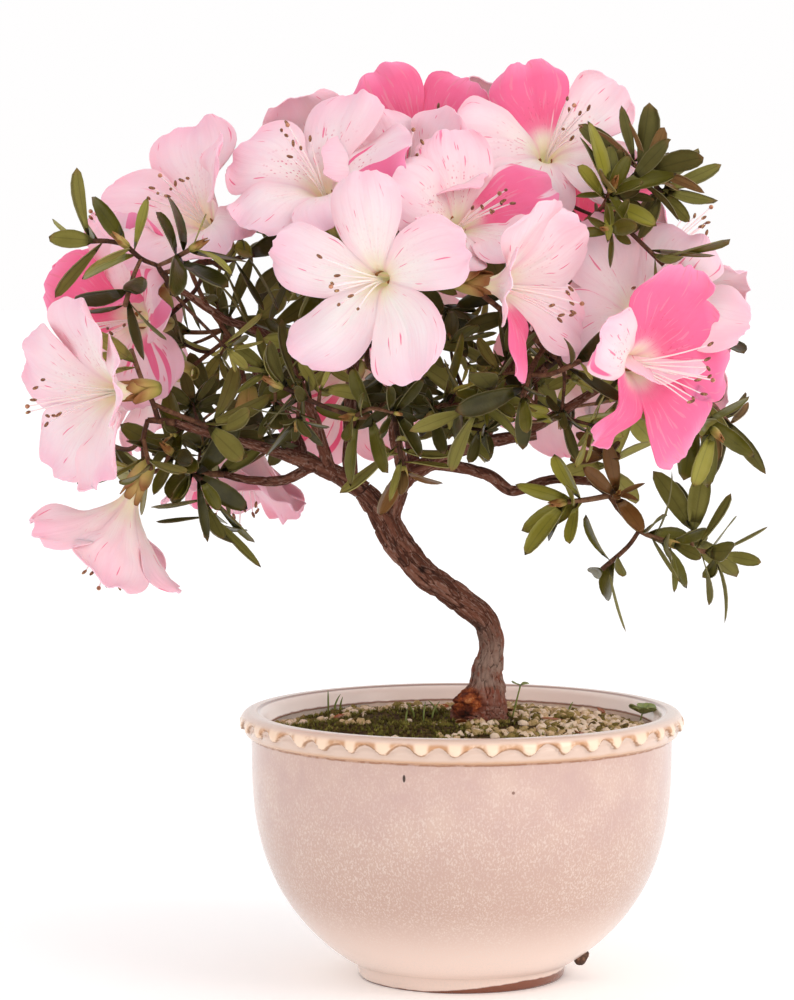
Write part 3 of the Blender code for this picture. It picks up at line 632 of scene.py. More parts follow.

# %% [markdown]
# ## The colour of bark
#
# The colour of the bark is laid on in steps: a tone for each flake, pale lifted edges that are
# partly painted highlight, dark cracks, a paler worn stretch low on the trunk, the rust red,
# rotten knob at its foot, and painted shade in the hollows.
# The fibre runs along the limb, because its noise is read from the way round and along it.

# %% Bark finish
# Brown and dull. The pale flake edges are partly painted highlight, where dry flakes catch the light.
azalea_bark, tree, shader = new_finish("flaky azalea bark", "#7A5A4A", 0.85, {"Specular IOR Level": 0.25})
place = own_place(tree)
mark = {name: mark_of(tree, name) for name in BARK_MARKS}
angle = maths("MULTIPLY", own_flat(tree)[0], math.tau)
fibre_place = add_node(
    tree,
    "ShaderNodeCombineXYZ",
    {
        "X": product(maths("COSINE", angle), mark["thick"]),
        "Y": product(maths("SINE", angle), mark["thick"]),
        "Z": product(mark["run"], 0.3),
    },
)
fibre = spots(fibre_place.outputs[0], 1.7, 6.0, 0.7)
blotch = spots(place, 150.0, 4.0, 0.7)
tone = maths("ADD", product(mark["flake"], 0.55), product(fibre, 0.45))
skin = ramp(tone, (0.3, "#4A281B"), (0.45, "#6C3F2E"), (0.55, "#85523F"), (0.7, "#A57A68"))
high = add_node(tree, "ShaderNodeSeparateXYZ", {0: place}).outputs["Z"]
worn = product(slope(high, 0.124, 0.108), slope(blotch, 0.35, 0.6), 0.7)
skin = lay_on(skin, worn, "#BCA090")
rosy = product(slope(blotch, 0.5, 0.4), slope(high, 0.128, 0.110, 0.6))
skin = lay_on(skin, rosy, "#A8604C")
skin = lay_on(skin, slope(high, 0.102, 0.094, 0.65), "#8C4A38")
# Pale flake edges: partly the peeled edges of the flakes, partly a painted highlight.
lifted_edge_and_highlight = maths("SUBTRACT", slope(mark["crack"], 0.2, 0.42), slope(mark["crack"], 0.45, 0.8))
skin = lay_on(skin, product(lifted_edge_and_highlight, slope(fibre, 0.42, 0.62, 0.6)), "#B79A8C")
skin = lay_on(skin, slope(mark["crack"], 0.3, 0.0, 0.85), "#2E1B14")
rotten = ramp(blotch, (0.38, "#2E1208"), (0.48, "#6E2C12"), (0.56, "#B65A26"), (0.64, "#E09A60"))
skin = lay_on(skin, slope(mark["knob"], 0.25, 0.6, 0.9), rotten)
# Painted shade: the hollows and the crease under the fold are darkened.
skin = lay_on(skin, slope(mark["hollow"], 0.05, 0.8, 0.75), "#22120C")
feed(shader, "Base Color", skin)
add_bump(shader, fibre, 0.9, 0.0016)

limb_bark = bark.make("limb_bark", azalea_bark)
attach(limb_bark, "root")
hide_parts("trunk", *BOUGHS)

# %% [markdown]
# ## The growing rule: blooms
#
# The source of the imported part grows each mass by a rule, and the rule is written again here,
# so that this crown is the same crown. Blooms are placed one by one, because everybody looks at
# them first. Each is tested against what already stands, and folds single lobes forward where
# it would crowd another mass. The plain bloom below is only for those tests.

# %% The growing rule: blooms
# Its mass, the middle of its mouth, the way it faces, its turn in degrees, its size, and how
# far it is open.
BLOOMS = {
    "front": ("front_mass", (-31, -86, 240), (-0.36, -0.93, 0.05), 6, 1.0, 1.0),
    "front_right": ("right_front_mass", (18, -76, 237), (0.84, -0.54, -0.04), 20, 0.95, 0.7),
    "right_hot": ("right_front_mass", (60, -70, 211), (0.68, -0.72, -0.10), -4, 1.0, 0.9),
    "right_pale": ("right_front_mass", (58, -46, 231), (0.10, -0.80, 0.58), 36, 1.0, 0.9),
    "left": ("left_front_mass", (-121, -60, 202), (-0.78, -0.62, -0.03), 0, 1.0, 0.8),
    "left_low": ("left_front_mass", (-115, -28, 156), (-0.44, 0.12, -0.89), 25, 0.95, 0.66),
    "top_left": ("top_mass", (-48, -42, 274), (-0.25, -0.58, 0.78), 0, 1.0, 0.9),
    "top_right": ("right_top_mass", (29, -18, 284), (0.12, -0.80, 0.58), 14, 0.95, 0.9),
    "centre_right": ("top_mass", (1, -52, 260), (0.35, -0.78, 0.50), 0, 0.9, 0.85),
    "centre_top": ("top_mass", (-19, -34, 275), (0.05, -0.62, 0.78), 20, 0.85, 0.85),
    "top": ("top_mass", (-14, -4, 284), (-0.05, -0.86, 0.50), 36, 0.85, 0.95),
    "upper_left": ("left_top_mass", (-90, -18, 262), (-0.45, -0.64, 0.62), 20, 1.0, 0.85),
    "left_hot": ("left_top_mass", (-113, -12, 225), (-0.50, -0.84, 0.12), 0, 1.0, 0.9),
    "right_back": ("right_end_mass", (68, 12, 247), (0.62, 0.10, 0.78), 0, 1.0, 0.85),
    "low_back": ("back_left_mass", (-76, 36, 173), (-0.10, -0.25, -0.96), 0, 1.0, 0.5),
    "inner_left": ("left_top_mass", (-112, 14, 246), (-0.45, -0.45, 0.77), -20, 0.95, 0.9),
    "back_top_left": ("back_mass", (-45, 46, 280), (-0.20, 0.50, 0.84), 30, 1.0, 0.9),
    "back_top_right": ("back_right_mass", (14, 42, 284), (0.15, 0.55, 0.82), 0, 0.95, 0.85),
    "back": ("back_mass", (-22, 86, 240), (0.0, 0.97, 0.25), 15, 1.0, 1.0),
    "back_low": ("back_mass", (-38, 75, 198), (-0.05, 0.94, -0.35), 0, 0.95, 0.8),
    "back_side_left": ("back_left_mass", (-112, 52, 205), (-0.75, 0.65, 0.05), 20, 1.0, 0.85),
    "back_side_right": ("back_right_mass", (44, 66, 248), (0.40, 0.76, 0.50), 0, 1.0, 0.85),
    "right_side": ("right_end_mass", (70, 36, 212), (0.68, 0.72, 0.05), 0, 0.95, 0.85),
    "back_low_right": ("back_right_mass", (34, 68, 202), (0.35, 0.88, -0.30), 25, 0.95, 0.75),
}
TUBE_LENGTH = 20.0
THROAT_RADIUS = 9.0
LOBE_LENGTH = 27.0
LOBE_SPREAD = 80.0
CALYX_RADIUS = 1.9
MOUTH_DEPTH = 24.0
PETAL_THICKNESS = 0.6
SINUS_REACH = 0.42
SHOULDER_REACH = 0.88
SHOULDER_TURN = 23.0
LOBES = 5
FOLD_STEP = 0.07
FOLD_ROUNDS = 14
LEAST_OPEN = 0.4


def frame_of(facing, turn):
    """A matrix whose Z faces a given way, turned about it in degrees."""
    way = Vector(facing).normalized()
    across = Vector((0, 0, 1)) - way * way.z
    if across.length < 0.05:
        across = Vector((0, -1, 0)) - way * -way.y
    across.normalize()
    basis = Matrix((across.cross(way), across, way)).transposed()
    return basis @ Matrix.Rotation(math.radians(turn), 3, "Z")


def bloom_base(mouth, facing, size):
    """The foot of a bloom's funnel."""
    return Vector(mouth) - Vector(facing).normalized() * MOUTH_DEPTH * size


def plain_bloom(mouth, facing, turn, size, openness, extra=0.0):
    """A thin five-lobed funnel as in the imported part: points, faces, and the lobe of each."""
    basis = frame_of(facing, turn)
    base = bloom_base(mouth, facing, size)
    lift = PETAL_THICKNESS / 2 + extra
    throat = THROAT_RADIUS * size
    tube_length = TUBE_LENGTH * size

    def point(degrees, radius, height):
        around = math.radians(degrees)
        return base + basis @ Vector((radius * math.sin(around), radius * math.cos(around), height))

    def edge_point(degrees, reach, part_open, offset):
        spread = math.radians(LOBE_SPREAD * part_open)
        length = LOBE_LENGTH * size * reach + (extra if reach > SINUS_REACH else 0)
        radius = throat + length * math.sin(spread) - offset * math.cos(spread)
        return point(degrees, radius, tube_length + length * math.cos(spread) + offset * math.sin(spread))

    foot, throats, edges = [], {-1: [], 1: []}, {-1: [], 1: []}
    shoulders = ((-SHOULDER_TURN, SHOULDER_REACH), (0, 1.0), (SHOULDER_TURN, SHOULDER_REACH))
    for lobe in range(LOBES):
        middle = 360 / LOBES * lobe
        joint = middle - 180 / LOBES
        shared = (openness[lobe] + openness[lobe - 1]) / 2
        foot.append(point(middle, CALYX_RADIUS + extra, -extra))
        for face in (-1, 1):
            for half in (-180 / LOBES, 0):
                throats[face].append(point(middle + half, throat - face * lift, tube_length + face * lift))
            edges[face].append(edge_point(joint, SINUS_REACH, shared, face * lift))
            for turned, reach in shoulders:
                edges[face].append(edge_point(middle + turned, reach, openness[lobe], face * lift))
    points = foot + throats[-1] + edges[-1] + edges[1] + throats[1]
    points.append(base + basis @ Vector((0, 0, tube_length * 0.35)))
    throat_out, edge_out, edge_in, throat_in = LOBES, 3 * LOBES, 7 * LOBES, 11 * LOBES
    apex = len(points) - 1
    faces, lobe_of = [tuple(range(LOBES))], [None]
    for lobe in range(LOBES):
        after = (lobe + 1) % LOBES
        left, middle, right = 2 * lobe, 2 * lobe + 1, 2 * after
        rim = [4 * lobe + step for step in range(4)] + [4 * after]
        tube_faces = [
            (lobe, throat_out + left, throat_out + middle),
            (lobe, throat_out + middle, throat_out + right),
            (lobe, throat_out + right, after),
            (apex, throat_in + middle, throat_in + left),
            (apex, throat_in + right, throat_in + middle),
        ]
        petal_faces = []
        for neck, edge, turned in ((throat_out, edge_out, 1), (throat_in, edge_in, -1)):
            fans = [
                (neck + left, edge + rim[0], edge + rim[1]),
                (neck + left, edge + rim[1], neck + middle),
                (neck + middle, edge + rim[1], edge + rim[2]),
                (neck + middle, edge + rim[2], edge + rim[3]),
                (neck + middle, edge + rim[3], neck + right),
                (neck + right, edge + rim[3], edge + rim[4]),
            ]
            petal_faces += [fan[::turned] for fan in fans]
        for step in range(4):
            petal_faces.append((edge_out + rim[step], edge_in + rim[step], edge_in + rim[step + 1]))
            petal_faces.append((edge_out + rim[step], edge_in + rim[step + 1], edge_out + rim[step + 1]))
        faces += tube_faces + petal_faces
        lobe_of += [None] * len(tube_faces) + [lobe] * len(petal_faces)
    return points, faces, lobe_of


# %% [markdown]
# ## The growing rule: twigs, buds and leaves
#
# Each mass has a stem that goes on from its bough. A twig leaves the nearest place on what has
# already grown, bends towards its tip, and is given up where it would touch something. A tip
# carries a whorl of leaves, turned by the golden angle so that none shades the next. The dice
# of a mass are seeded with its name, so that the same crown grows each time.

# %% The growing rule: twigs, buds and leaves
# Its bough, its heart, its reach, how many tips it grows, and tips at set places with their way.
MASSES = {
    "left_low_mass": ("left_low_bough", (-90, -16, 172), (26, 26, 20), 3, (
        ((-86, -12, 157), (-0.8, -0.1, -0.3)), ((-97, -30, 181), (-0.8, -0.3, 0.1)))),
    "left_front_mass": ("left_front_bough", (-104, -38, 192), (34, 34, 30), 4, ()),
    "left_top_mass": ("left_top_bough", (-100, -46, 243), (36, 40, 34), 3, (
        ((-110, -54, 250), (-0.1, -0.4, 0.9)), ((-124, -52, 251), (-1.0, -0.2, 0.1)),
        ((-88, -55, 249), (0.4, -0.4, 0.8)))),
    "front_mass": ("front_bough", (-23, -50, 234), (48, 34, 46), 5, (
        ((-20, -42, 176), (0.3, -0.7, 0.1)), ((-36, -52, 194), (-0.1, -0.5, 0.8)),
        ((2, -48, 198), (0.4, -0.7, 0.2)), ((-60, -50, 204), (-0.5, -0.6, 0.2)))),
    "top_mass": ("top_bough", (-29, 0, 252), (50, 40, 30), 5, (((-1, -22, 262), (0.1, -0.2, 1.0)),)),
    "right_front_mass": ("right_front_bough", (33, -46, 214), (50, 36, 34), 6, ()),
    "right_top_mass": ("right_top_bough", (41, -30, 258), (38, 32, 32), 4, (
        ((48, -42, 268), (-0.1, -0.4, 0.9)), ((60, -36, 274), (0.3, -0.3, 0.9)),
        ((66, -28, 266), (0.9, -0.1, 0.4)))),
    "right_low_mass": ("right_low_bough", (52, -18, 161), (44, 30, 26), 3, (
        ((69, -22, 150), (0.7, -0.3, 0.0)), ((86, -20, 146), (0.9, -0.1, -0.1)),
        ((33, -28, 164), (0.3, -0.6, -0.2)))),
    "right_end_mass": ("right_end_bough", (68, 6, 214), (36, 36, 40), 3, (
        ((83, -28, 188), (0.9, -0.2, 0.2)), ((80, -4, 199), (1.0, 0.0, 0.1)))),
    "back_left_mass": ("back_left_bough", (-80, 40, 216), (42, 38, 42), 5, ()),
    "back_mass": ("back_bough", (-28, 52, 218), (44, 36, 44), 6, ()),
    "back_right_mass": ("back_right_bough", (40, 44, 220), (42, 36, 42), 5, ()),
}
CLEARANCE = GAP + 0.1
TWIG_SIDES = 3
TWIG_TIP_RADIUS = 0.9
TWIG_SPREAD = 13.0
TWIG_NODE_STEP = 6.0
TWIG_TRIES = 24
TWIG_BOWS = (0.1, 0.3, -0.15, 0.5)
SHORTEST_TWIG = 4.0
TWIG_SINK = 2.0
TIP_TRIES = 60
BUD_RADIUS = 1.7
BUD_LENGTH = 7.0
LEAVES_AT_NAMED_TIP = 7
LEAVES_AT_TIP = 4
LEAF_TRIES = 16
LEAF_LENGTH = (18.0, 27.0)
LEAF_WIDTH = 0.36
LEAF_THICKNESS = 0.55
LEAF_SINK = 0.1
LEAF_START = 2.6
LEAF_STEP = 1.5
LEAF_TILT = (38.0, 82.0)
GOLDEN_TURN = 137.5
UPWARDS = Vector((0, 0, 0.35))


def plain_leaf(root, along, normal, length, extra):
    """A leaf of eight faces, for tests."""
    side = along.cross(normal).normalized()
    width = length * LEAF_WIDTH / 2 + extra
    lift = LEAF_THICKNESS / 2 + extra
    middle = root + along * length * 0.52 + normal * length * 0.05
    points = [
        root - along * extra,
        middle + side * width,
        root + along * (length + extra),
        middle - side * width,
        middle + normal * lift,
        middle - normal * lift,
    ]
    return points, [(i, (i + 1) % 4, 4) for i in range(4)] + [((i + 1) % 4, i, 5) for i in range(4)]


def plain_bud(place, along, extra):
    """A bud of eight faces, for tests."""
    across = along.orthogonal().normalized()
    other = along.cross(across)
    ring = place + along * BUD_LENGTH * 0.15
    points = [place - along * (BUD_LENGTH * 0.35 + extra)]
    for side in range(4):
        turn = math.pi / 2 * side
        points.append(ring + (across * math.cos(turn) + other * math.sin(turn)) * (BUD_RADIUS + extra))
    points.append(place + along * (BUD_LENGTH * 0.65 + extra))
    faces = []
    for side in range(4):
        after = (side + 1) % 4
        faces += [(0, 1 + after, 1 + side), (5, 1 + side, 1 + after)]
    return points, faces


class Kept:
    """What already stands, so that a new piece can be tested against it."""

    def __init__(self):
        self.trees = []

    def add(self, owner, solid, tag="limb"):
        self.trees.append((owner, tag, BVHTree.FromPolygons(*solid)))

    def touches(self, solid, owner, own_too=(), spare=()):
        """The first piece that a new one touches, with the new one's faces that do, or None."""
        new = BVHTree.FromPolygons(*solid)
        for other, tag, standing in self.trees:
            if other == owner and (tag in spare or tag.split(":")[0] not in own_too):
                continue
            pairs = new.overlap(standing)
            if pairs:
                return tag, [pair[0] for pair in pairs]
        return None


class Tip:
    """Where a twig ends, its straight last stretch, and what it bears."""

    def __init__(self, bend, place, twig):
        self.place = place
        self.way = (place - bend).normalized()
        self.stretch = (place - bend).length
        self.twig = twig
        self.has_bud = False
        self.leaves = LEAVES_AT_TIP


class Mass:
    """One mass: its stem, the places that twigs can leave from, and what has grown."""

    def __init__(self, name):
        bough, heart, reach, tips, named = MASSES[name]
        self.name, self.reach, self.tips, self.named = name, reach, tips, named
        self.heart = Vector(heart)
        self.dice = random.Random(name)
        self.count = 0
        self.blooms, self.ends, self.twigs, self.leaves, self.buds = [], [], [], [], []
        tip, along, radius = limbs[bough].tip()
        start = tip + along * GAP
        bend = start.lerp(self.heart, 0.5) + along * (self.heart - start).length * 0.12
        path, radii = [start, bend, self.heart], [radius, radius * 0.9, radius * 0.75]
        self.stem = tube(path, radii, BOUGH_SIDES, along)
        self.twigs.append((path, radii))
        self.nodes = []
        self.note(path, radii)

    def note(self, path, radii):
        """Keeps places along a new twig, from which others can leave."""
        for i in range(len(path) - 1):
            way = path[i + 1] - path[i]
            steps = max(1, int(way.length / TWIG_NODE_STEP))
            for step in range(1, steps + 1):
                part = step / steps
                radius = radii[i] * (1 - part) + radii[i + 1] * part
                self.nodes.append((path[i].lerp(path[i + 1], part), way.normalized(), radius))

    def inside(self, place):
        """Whether a place is in the ellipsoid that the mass fills."""
        away = place - self.heart
        return sum((away[k] / self.reach[k]) ** 2 for k in range(3)) < 1.0


def twig_route(node, target, arrive, bow):
    """Path and radii of a twig that leaves a node and arrives at its target in a given way."""
    start, along, radius = node
    distance = (target - start).length
    bend = start.lerp(target, 0.5) + along * distance * bow - arrive * distance * 0.14
    thick = min(radius * 0.85, 0.9 + distance * 0.012)
    return [start, bend, target], [thick, thick * 0.5 + TWIG_TIP_RADIUS * 0.5, TWIG_TIP_RADIUS]


def grow_twig(mass, kept, target, arrive, spare=()):
    """Adds the shortest twig to a target that touches nothing, and gives its tip, or None."""

    def detour(node):
        away = target - node[0]
        return away.length * (1.25 - 0.25 * node[1].dot(away.normalized()))

    for bow in TWIG_BOWS:
        for node in sorted(mass.nodes, key=detour)[:TWIG_TRIES]:
            path, radii = twig_route(node, target, arrive, bow)
            if (target - node[0]).length < SHORTEST_TWIG:
                continue
            swollen = tube(path, [radius + CLEARANCE for radius in radii], TWIG_SIDES)
            if kept.touches(swollen, mass.name, ("bloom",), spare):
                continue
            tag = f"twig:{mass.count}"
            mass.count += 1
            kept.add(mass.name, tube(path, radii, TWIG_SIDES), tag)
            mass.note(path, radii)
            mass.twigs.append((path, radii))
            return Tip(path[1], target, tag)
    return None


def fold_lobes(kept, owner, place, openness, own_too):
    """Folds lobes forward until the bloom is clear. Gives what it still meets, or None."""
    for _ in range(FOLD_ROUNDS * LOBES):
        *swollen, lobe_of = plain_bloom(*place, openness, extra=CLEARANCE)
        met = kept.touches(swollen, owner, own_too)
        if not met:
            return None
        lobes = {lobe_of[face] for face in met[1]} - {None}
        lobes = {lobe for lobe in lobes if openness[lobe] > LEAST_OPEN}
        if not lobes:
            return met[0]
        for lobe in lobes:
            openness[lobe] -= FOLD_STEP
    return met[0]


def place_blooms(masses, kept):
    """Gives how far each lobe of each bloom is open."""
    opened = {}
    for name, (owner, *place, wide) in BLOOMS.items():
        openness = [wide] * LOBES
        if fold_lobes(kept, owner, place, openness, ("bloom",)):
            openness = [wide] * LOBES
            if fold_lobes(kept, owner, place, openness, ()):
                continue
        kept.add(owner, plain_bloom(*place, openness)[:2], "bloom:" + name)
        masses[owner].blooms.append(name)
        opened[name] = openness
    return opened


def reach_blooms(mass, kept):
    """A twig to the foot of each bloom."""
    for name in mass.blooms:
        _, mouth, facing, _, size, _ = BLOOMS[name]
        way = Vector(facing).normalized()
        target = bloom_base(mouth, facing, size) + way * TWIG_SINK
        grow_twig(mass, kept, target, way, ("bloom:" + name,))


def grow_tips(mass, kept):
    """Twigs to the tips at set places, and then to as many random places as the mass has tips."""
    for place, facing in mass.named:
        end = grow_twig(mass, kept, Vector(place), Vector(facing).normalized())
        if end:
            end.has_bud = True
            end.leaves = LEAVES_AT_NAMED_TIP
            mass.ends.append(end)
    missing = mass.tips
    for _ in range(TIP_TRIES):
        if not missing:
            break
        away = Vector([mass.dice.uniform(-1, 1) * reach for reach in mass.reach])
        place = mass.heart + away
        spread = min([(place - other.place).length for other in mass.ends] or [TWIG_SPREAD])
        if not mass.inside(place) or spread < TWIG_SPREAD:
            continue
        end = grow_twig(mass, kept, place, (away.normalized() + UPWARDS).normalized())
        if end:
            mass.ends.append(end)
            missing -= 1


def whorl(end, dice, start, i, from_tip, tilts, lengths):
    """Root, way, upper side and length of the next leaf round a tip."""
    spin = Matrix.Rotation(math.radians(start + GOLDEN_TURN * i), 3, end.way)
    out = spin @ end.way.orthogonal().normalized()
    tilt = math.radians(dice.uniform(*tilts))
    length = dice.uniform(*lengths)
    along = end.way * math.cos(tilt) + out * math.sin(tilt)
    normal = end.way * math.sin(tilt) - out * math.cos(tilt)
    return end.place - end.way * from_tip - along * LEAF_SINK, along, normal, length


def grow_leaves(mass, kept):
    """A whorl of leaves at each tip, and a bud at some. What would touch something is skipped."""
    for number, end in enumerate(mass.ends):
        clear = plain_bud(end.place, end.way, CLEARANCE)
        if end.has_bud and not kept.touches(clear, mass.name, ("bloom", "leaf")):
            kept.add(mass.name, plain_bud(end.place, end.way, 0), f"bud:{number}")
            mass.buds.append((end.place, end.way))
        mine = (end.twig, f"bud:{number}", f"leaf:{number}")
        start = mass.dice.uniform(0, 360)
        grown = 0
        for i in range(LEAF_TRIES):
            from_tip = LEAF_START + grown * LEAF_STEP
            if grown == end.leaves or from_tip > end.stretch:
                break
            leaf = whorl(end, mass.dice, start, i, from_tip, LEAF_TILT, LEAF_LENGTH)
            clear = plain_leaf(*leaf, CLEARANCE)
            if kept.touches(clear, mass.name, ("bloom", "twig", "bud", "leaf", "stem"), mine):
                continue
            kept.add(mass.name, plain_leaf(*leaf, 0), f"leaf:{number}")
            mass.leaves.append((*leaf, number))
            grown += 1


kept = Kept()
for name, limb in limbs.items():
    kept.add(name, tube(limb.path, limb.radii, BOUGH_SIDES, limb.start_way))
masses = {name: Mass(name) for name in MASSES}
for mass in masses.values():
    kept.add(mass.name, mass.stem, "stem")
opened = place_blooms(masses, kept)
for step in (reach_blooms, grow_tips, grow_leaves):
    for mass in masses.values():
        step(mass, kept)
print("blooms:", len(opened), "leaves of the rule:", sum(len(mass.leaves) for mass in masses.values()))

# %% [markdown]
# ## Petals
#
# An azalea's bloom is one funnel of thin tissue that parts into five broad lobes. Each lobe
# is a sheet of quads here. Its middle line follows a curve whose angle from the bloom's axis
# grows from the tube to the tip, and its outline comes from a half width along that line.
# Low down the sheets meet their neighbours, and further out they're free, overlap a little,
# and bend, cup and ruffle each in its own way. Both sides and the cut edge are modelled,
# so a petal is a closed solid 0.4 mm thick.

# %% The curve of a lobe
PETAL_ACROSS = 18
PETAL_ALONG = 28
MERIDIAN_STEPS = 120
BLOOM_PATH = TUBE_LENGTH + LOBE_LENGTH + 0.8
THROAT_PLACE = TUBE_LENGTH / BLOOM_PATH
PETAL_SHEET = 0.4
LOBE_HALF_WIDTH = 14.2
TIP_DROP = 0.06
JOINED_UNTIL = 0.34
WIDEST_AT = 0.64
# Place along the lobe, degrees from the axis in an open bloom, and how far folding counts.
PETAL_BEND = (
    (0.0, 6, 0.0),
    (0.12, 0, 0.0),
    (0.24, 8, 0.2),
    (0.36, 46, 0.6),
    (0.5, 70, 1.0),
    (0.75, 78, 1.0),
    (0.9, 84, 1.0),
    (1.0, 98, 1.0),
)


def smooth(low, high, value):
    part = np.clip((value - low) / (high - low), 0.0, 1.0)
    return part * part * (3 - 2 * part)


def meridian(openness, curl=0.0, stretch=1.0):
    """Place, radius, height and angle along the middle of a lobe."""
    places = np.linspace(0, 1, MERIDIAN_STEPS + 1)
    bend = [degrees * (1 - share + share * openness) for _, degrees, share in PETAL_BEND]
    angle = np.interp(places, [stop[0] for stop in PETAL_BEND], bend)
    angle = angle + curl * smooth(0.55, 1.0, places)
    angle = np.convolve(np.pad(angle, 5, mode="edge"), np.ones(11) / 11, mode="valid")
    step = BLOOM_PATH / MERIDIAN_STEPS * (1 + (stretch - 1) * smooth(0.4, 0.75, places[1:]))
    turn = np.radians(angle)
    radius = CALYX_RADIUS + np.concatenate([[0], np.cumsum(np.sin(turn[1:]) * step)])
    height = np.concatenate([[0], np.cumsum(np.cos(turn[1:]) * step)])
    return places, radius, height, turn


_, radius, height, _ = meridian(1.0)
throat_row = int(THROAT_PLACE * MERIDIAN_STEPS)
print("throat radius", round(radius[throat_row], 1), "tip radius", round(radius[-1], 1))
print("height", round(height[-1], 1))

# %% [markdown]
# ## One lobe as a closed sheet
#
# The grid of a lobe has straight columns from its foot to its rounded end, so that veins and
# streaks, which run along a petal, can follow the same flat coordinates. Its surface is built
# up in layers, each with its own throw of the dice: the outline, the bend, the width, the way
# from a funnel to a flat sheet, and last the cup, the midrib and the ruffles.

# %% One lobe as a closed sheet
# How deep the end is notched, or drawn out to a point. One is picked for each lobe.
NOTCHES = (0.012, 0.022, -0.016)
END_WAVES = 0.028
# Ranges for the curl of the end and the sway in degrees, and for how long a lobe is drawn.
CURLS = (-16, 22)
SWAYS = (-8, 8)
STRETCHES = (0.94, 1.16)
CUPS = (-3.4, 2.2)
KEEL = 1.3
MIDRIB = 0.75
DENTS = 1.6


def lobe_surface(openness, lobe, dice, more_sway, wide, ruffle):
    """The middle surface of one lobe, as an array of rows and columns of points."""
    across = np.linspace(-1, 1, PETAL_ACROSS + 1)[None, :]
    rows = np.linspace(0, 1, PETAL_ALONG + 1)[:, None]
    # The outline: the sides end lower than the middle, and the end is notched and uneven.
    tip = TIP_DROP * (1 + dice.uniform(-0.25, 0.25))
    place = rows - tip * rows**3 * across**2
    place = place - dice.choice(NOTCHES) * rows**8 * np.exp(-((across / 0.16) ** 2))
    uneven = [noise.noise(Vector((a * 3.6, lobe * 3.0, 40 * openness[lobe]))) for a in across[0]]
    place = place + END_WAVES * np.array(uneven)[None, :] * rows**6
    free = np.clip((place - THROAT_PLACE) / (1 - THROAT_PLACE), 0, 1)
    side_place = rows - tip * rows**3
    side_free = np.clip((side_place - THROAT_PLACE) / (1 - THROAT_PLACE), 0, 1)
    # The bend: its own in the middle, and shared with the neighbour where the two join.
    mine = meridian(openness[lobe], dice.uniform(*CURLS), dice.uniform(*STRETCHES))
    sway = math.radians(dice.uniform(*SWAYS) + more_sway)
    tracks = []
    for other in (openness[lobe - 1], openness[(lobe + 1) % LOBES]):
        shared = meridian((openness[lobe] + other) / 2)
        weight = np.abs(across) ** 2 * (1 - smooth(0.15, 0.5, free))
        runs = [[np.interp(place, mine[0], line[k]) for k in (1, 2, 3)] for line in (mine, shared)]
        tracks.append([own * (1 - weight) + both * weight for own, both in zip(*runs)])
    left = np.broadcast_to(across < 0, place.shape)
    radius, height, angle = [np.where(left, tracks[0][k], tracks[1][k]) for k in range(3)]
    # The width: a fifth of the funnel up to the joint, then swelling, then rounded off.
    side_radius = np.interp(side_place, mine[0], mine[1])
    widest = LOBE_HALF_WIDTH * (1 + dice.uniform(-0.1, 0.1)) * wide
    joint_place = THROAT_PLACE + (1 - THROAT_PLACE) * JOINED_UNTIL
    joint = np.interp(joint_place, mine[0], mine[1]) * math.pi / LOBES
    rise = np.clip((side_free - JOINED_UNTIL) / (WIDEST_AT - JOINED_UNTIL), 0, 1)
    rise = np.sin(rise * math.pi / 2)
    cap = np.clip(1 - (np.clip(side_free - WIDEST_AT, 0, 1) / (1 - WIDEST_AT)) ** 2.1, 0, 1) ** 0.6
    joined = side_free < JOINED_UNTIL
    half = np.where(joined, side_radius * math.pi / LOBES, (joint + (widest - joint) * rise) * cap)
    wander = [noise.noise(Vector((row * 5.0, lobe * 7.0, dice.random() * 0.01))) for row in rows[:, 0]]
    half = half * (1 + 0.05 * np.array(wander)[:, None] * smooth(JOINED_UNTIL, 0.6, side_free))
    # From the round of the funnel to a flat sheet.
    turn = np.where(joined, across * math.pi / LOBES, across * half / np.maximum(radius, 1))
    flat = smooth(JOINED_UNTIL - 0.05, 0.75, free) * (0.15 + 0.85 * smooth(0.35, 0.95, openness[lobe]))
    x = radius * np.sin(turn) * (1 - flat) + across * half * flat
    y = radius * np.cos(turn) * (1 - flat) + radius * flat
    z = height + 0 * x
    # Relief: a keel, a cup, the midrib, two ruffled sides, waves at the end, and soft dents.
    out = smooth(0.2, 0.75, free)
    lift = KEEL * across * smooth(0.2, 0.5, free)
    lift = lift + dice.uniform(*CUPS) * across**2 * out
    groove = np.exp(-((across / 0.1) ** 2)) * smooth(0.05, 0.4, free) * (1 - 0.6 * free)
    lift = lift - MIDRIB * groove
    for side in (-1, 1):
        waves = np.sin(math.tau * (dice.uniform(1.6, 2.6) * place + dice.random()))
        tall = ruffle * dice.uniform(0.7, 1.7) * np.clip(side * across, 0, 1) ** 2.2
        lift = lift + tall * waves * smooth(0.3, 0.7, free)
    waves = np.sin(math.tau * (dice.uniform(0.6, 1.1) * across + dice.random()))
    lift = lift + ruffle * dice.uniform(0.4, 1.1) * waves * smooth(0.6, 1.0, free)
    start = dice.uniform(0, 50)
    dents = [[noise.noise(Vector((start + a * 1.3, b * 4.0, lobe))) for a in across[0]] for b in rows[:, 0]]
    lift = lift + DENTS * np.array(dents) * out
    y = y - lift * np.cos(angle)
    z = z + lift * np.sin(angle)
    lean = sway * smooth(0.2, 1.0, free)
    x, y = x * np.cos(lean) + y * np.sin(lean), y * np.cos(lean) - x * np.sin(lean)
    return np.stack([x, y, z], axis=-1)


PETAL_LAYOUT = sheet_layout(PETAL_ACROSS, PETAL_ALONG)
print("faces of one petal:", len(PETAL_LAYOUT[0]))

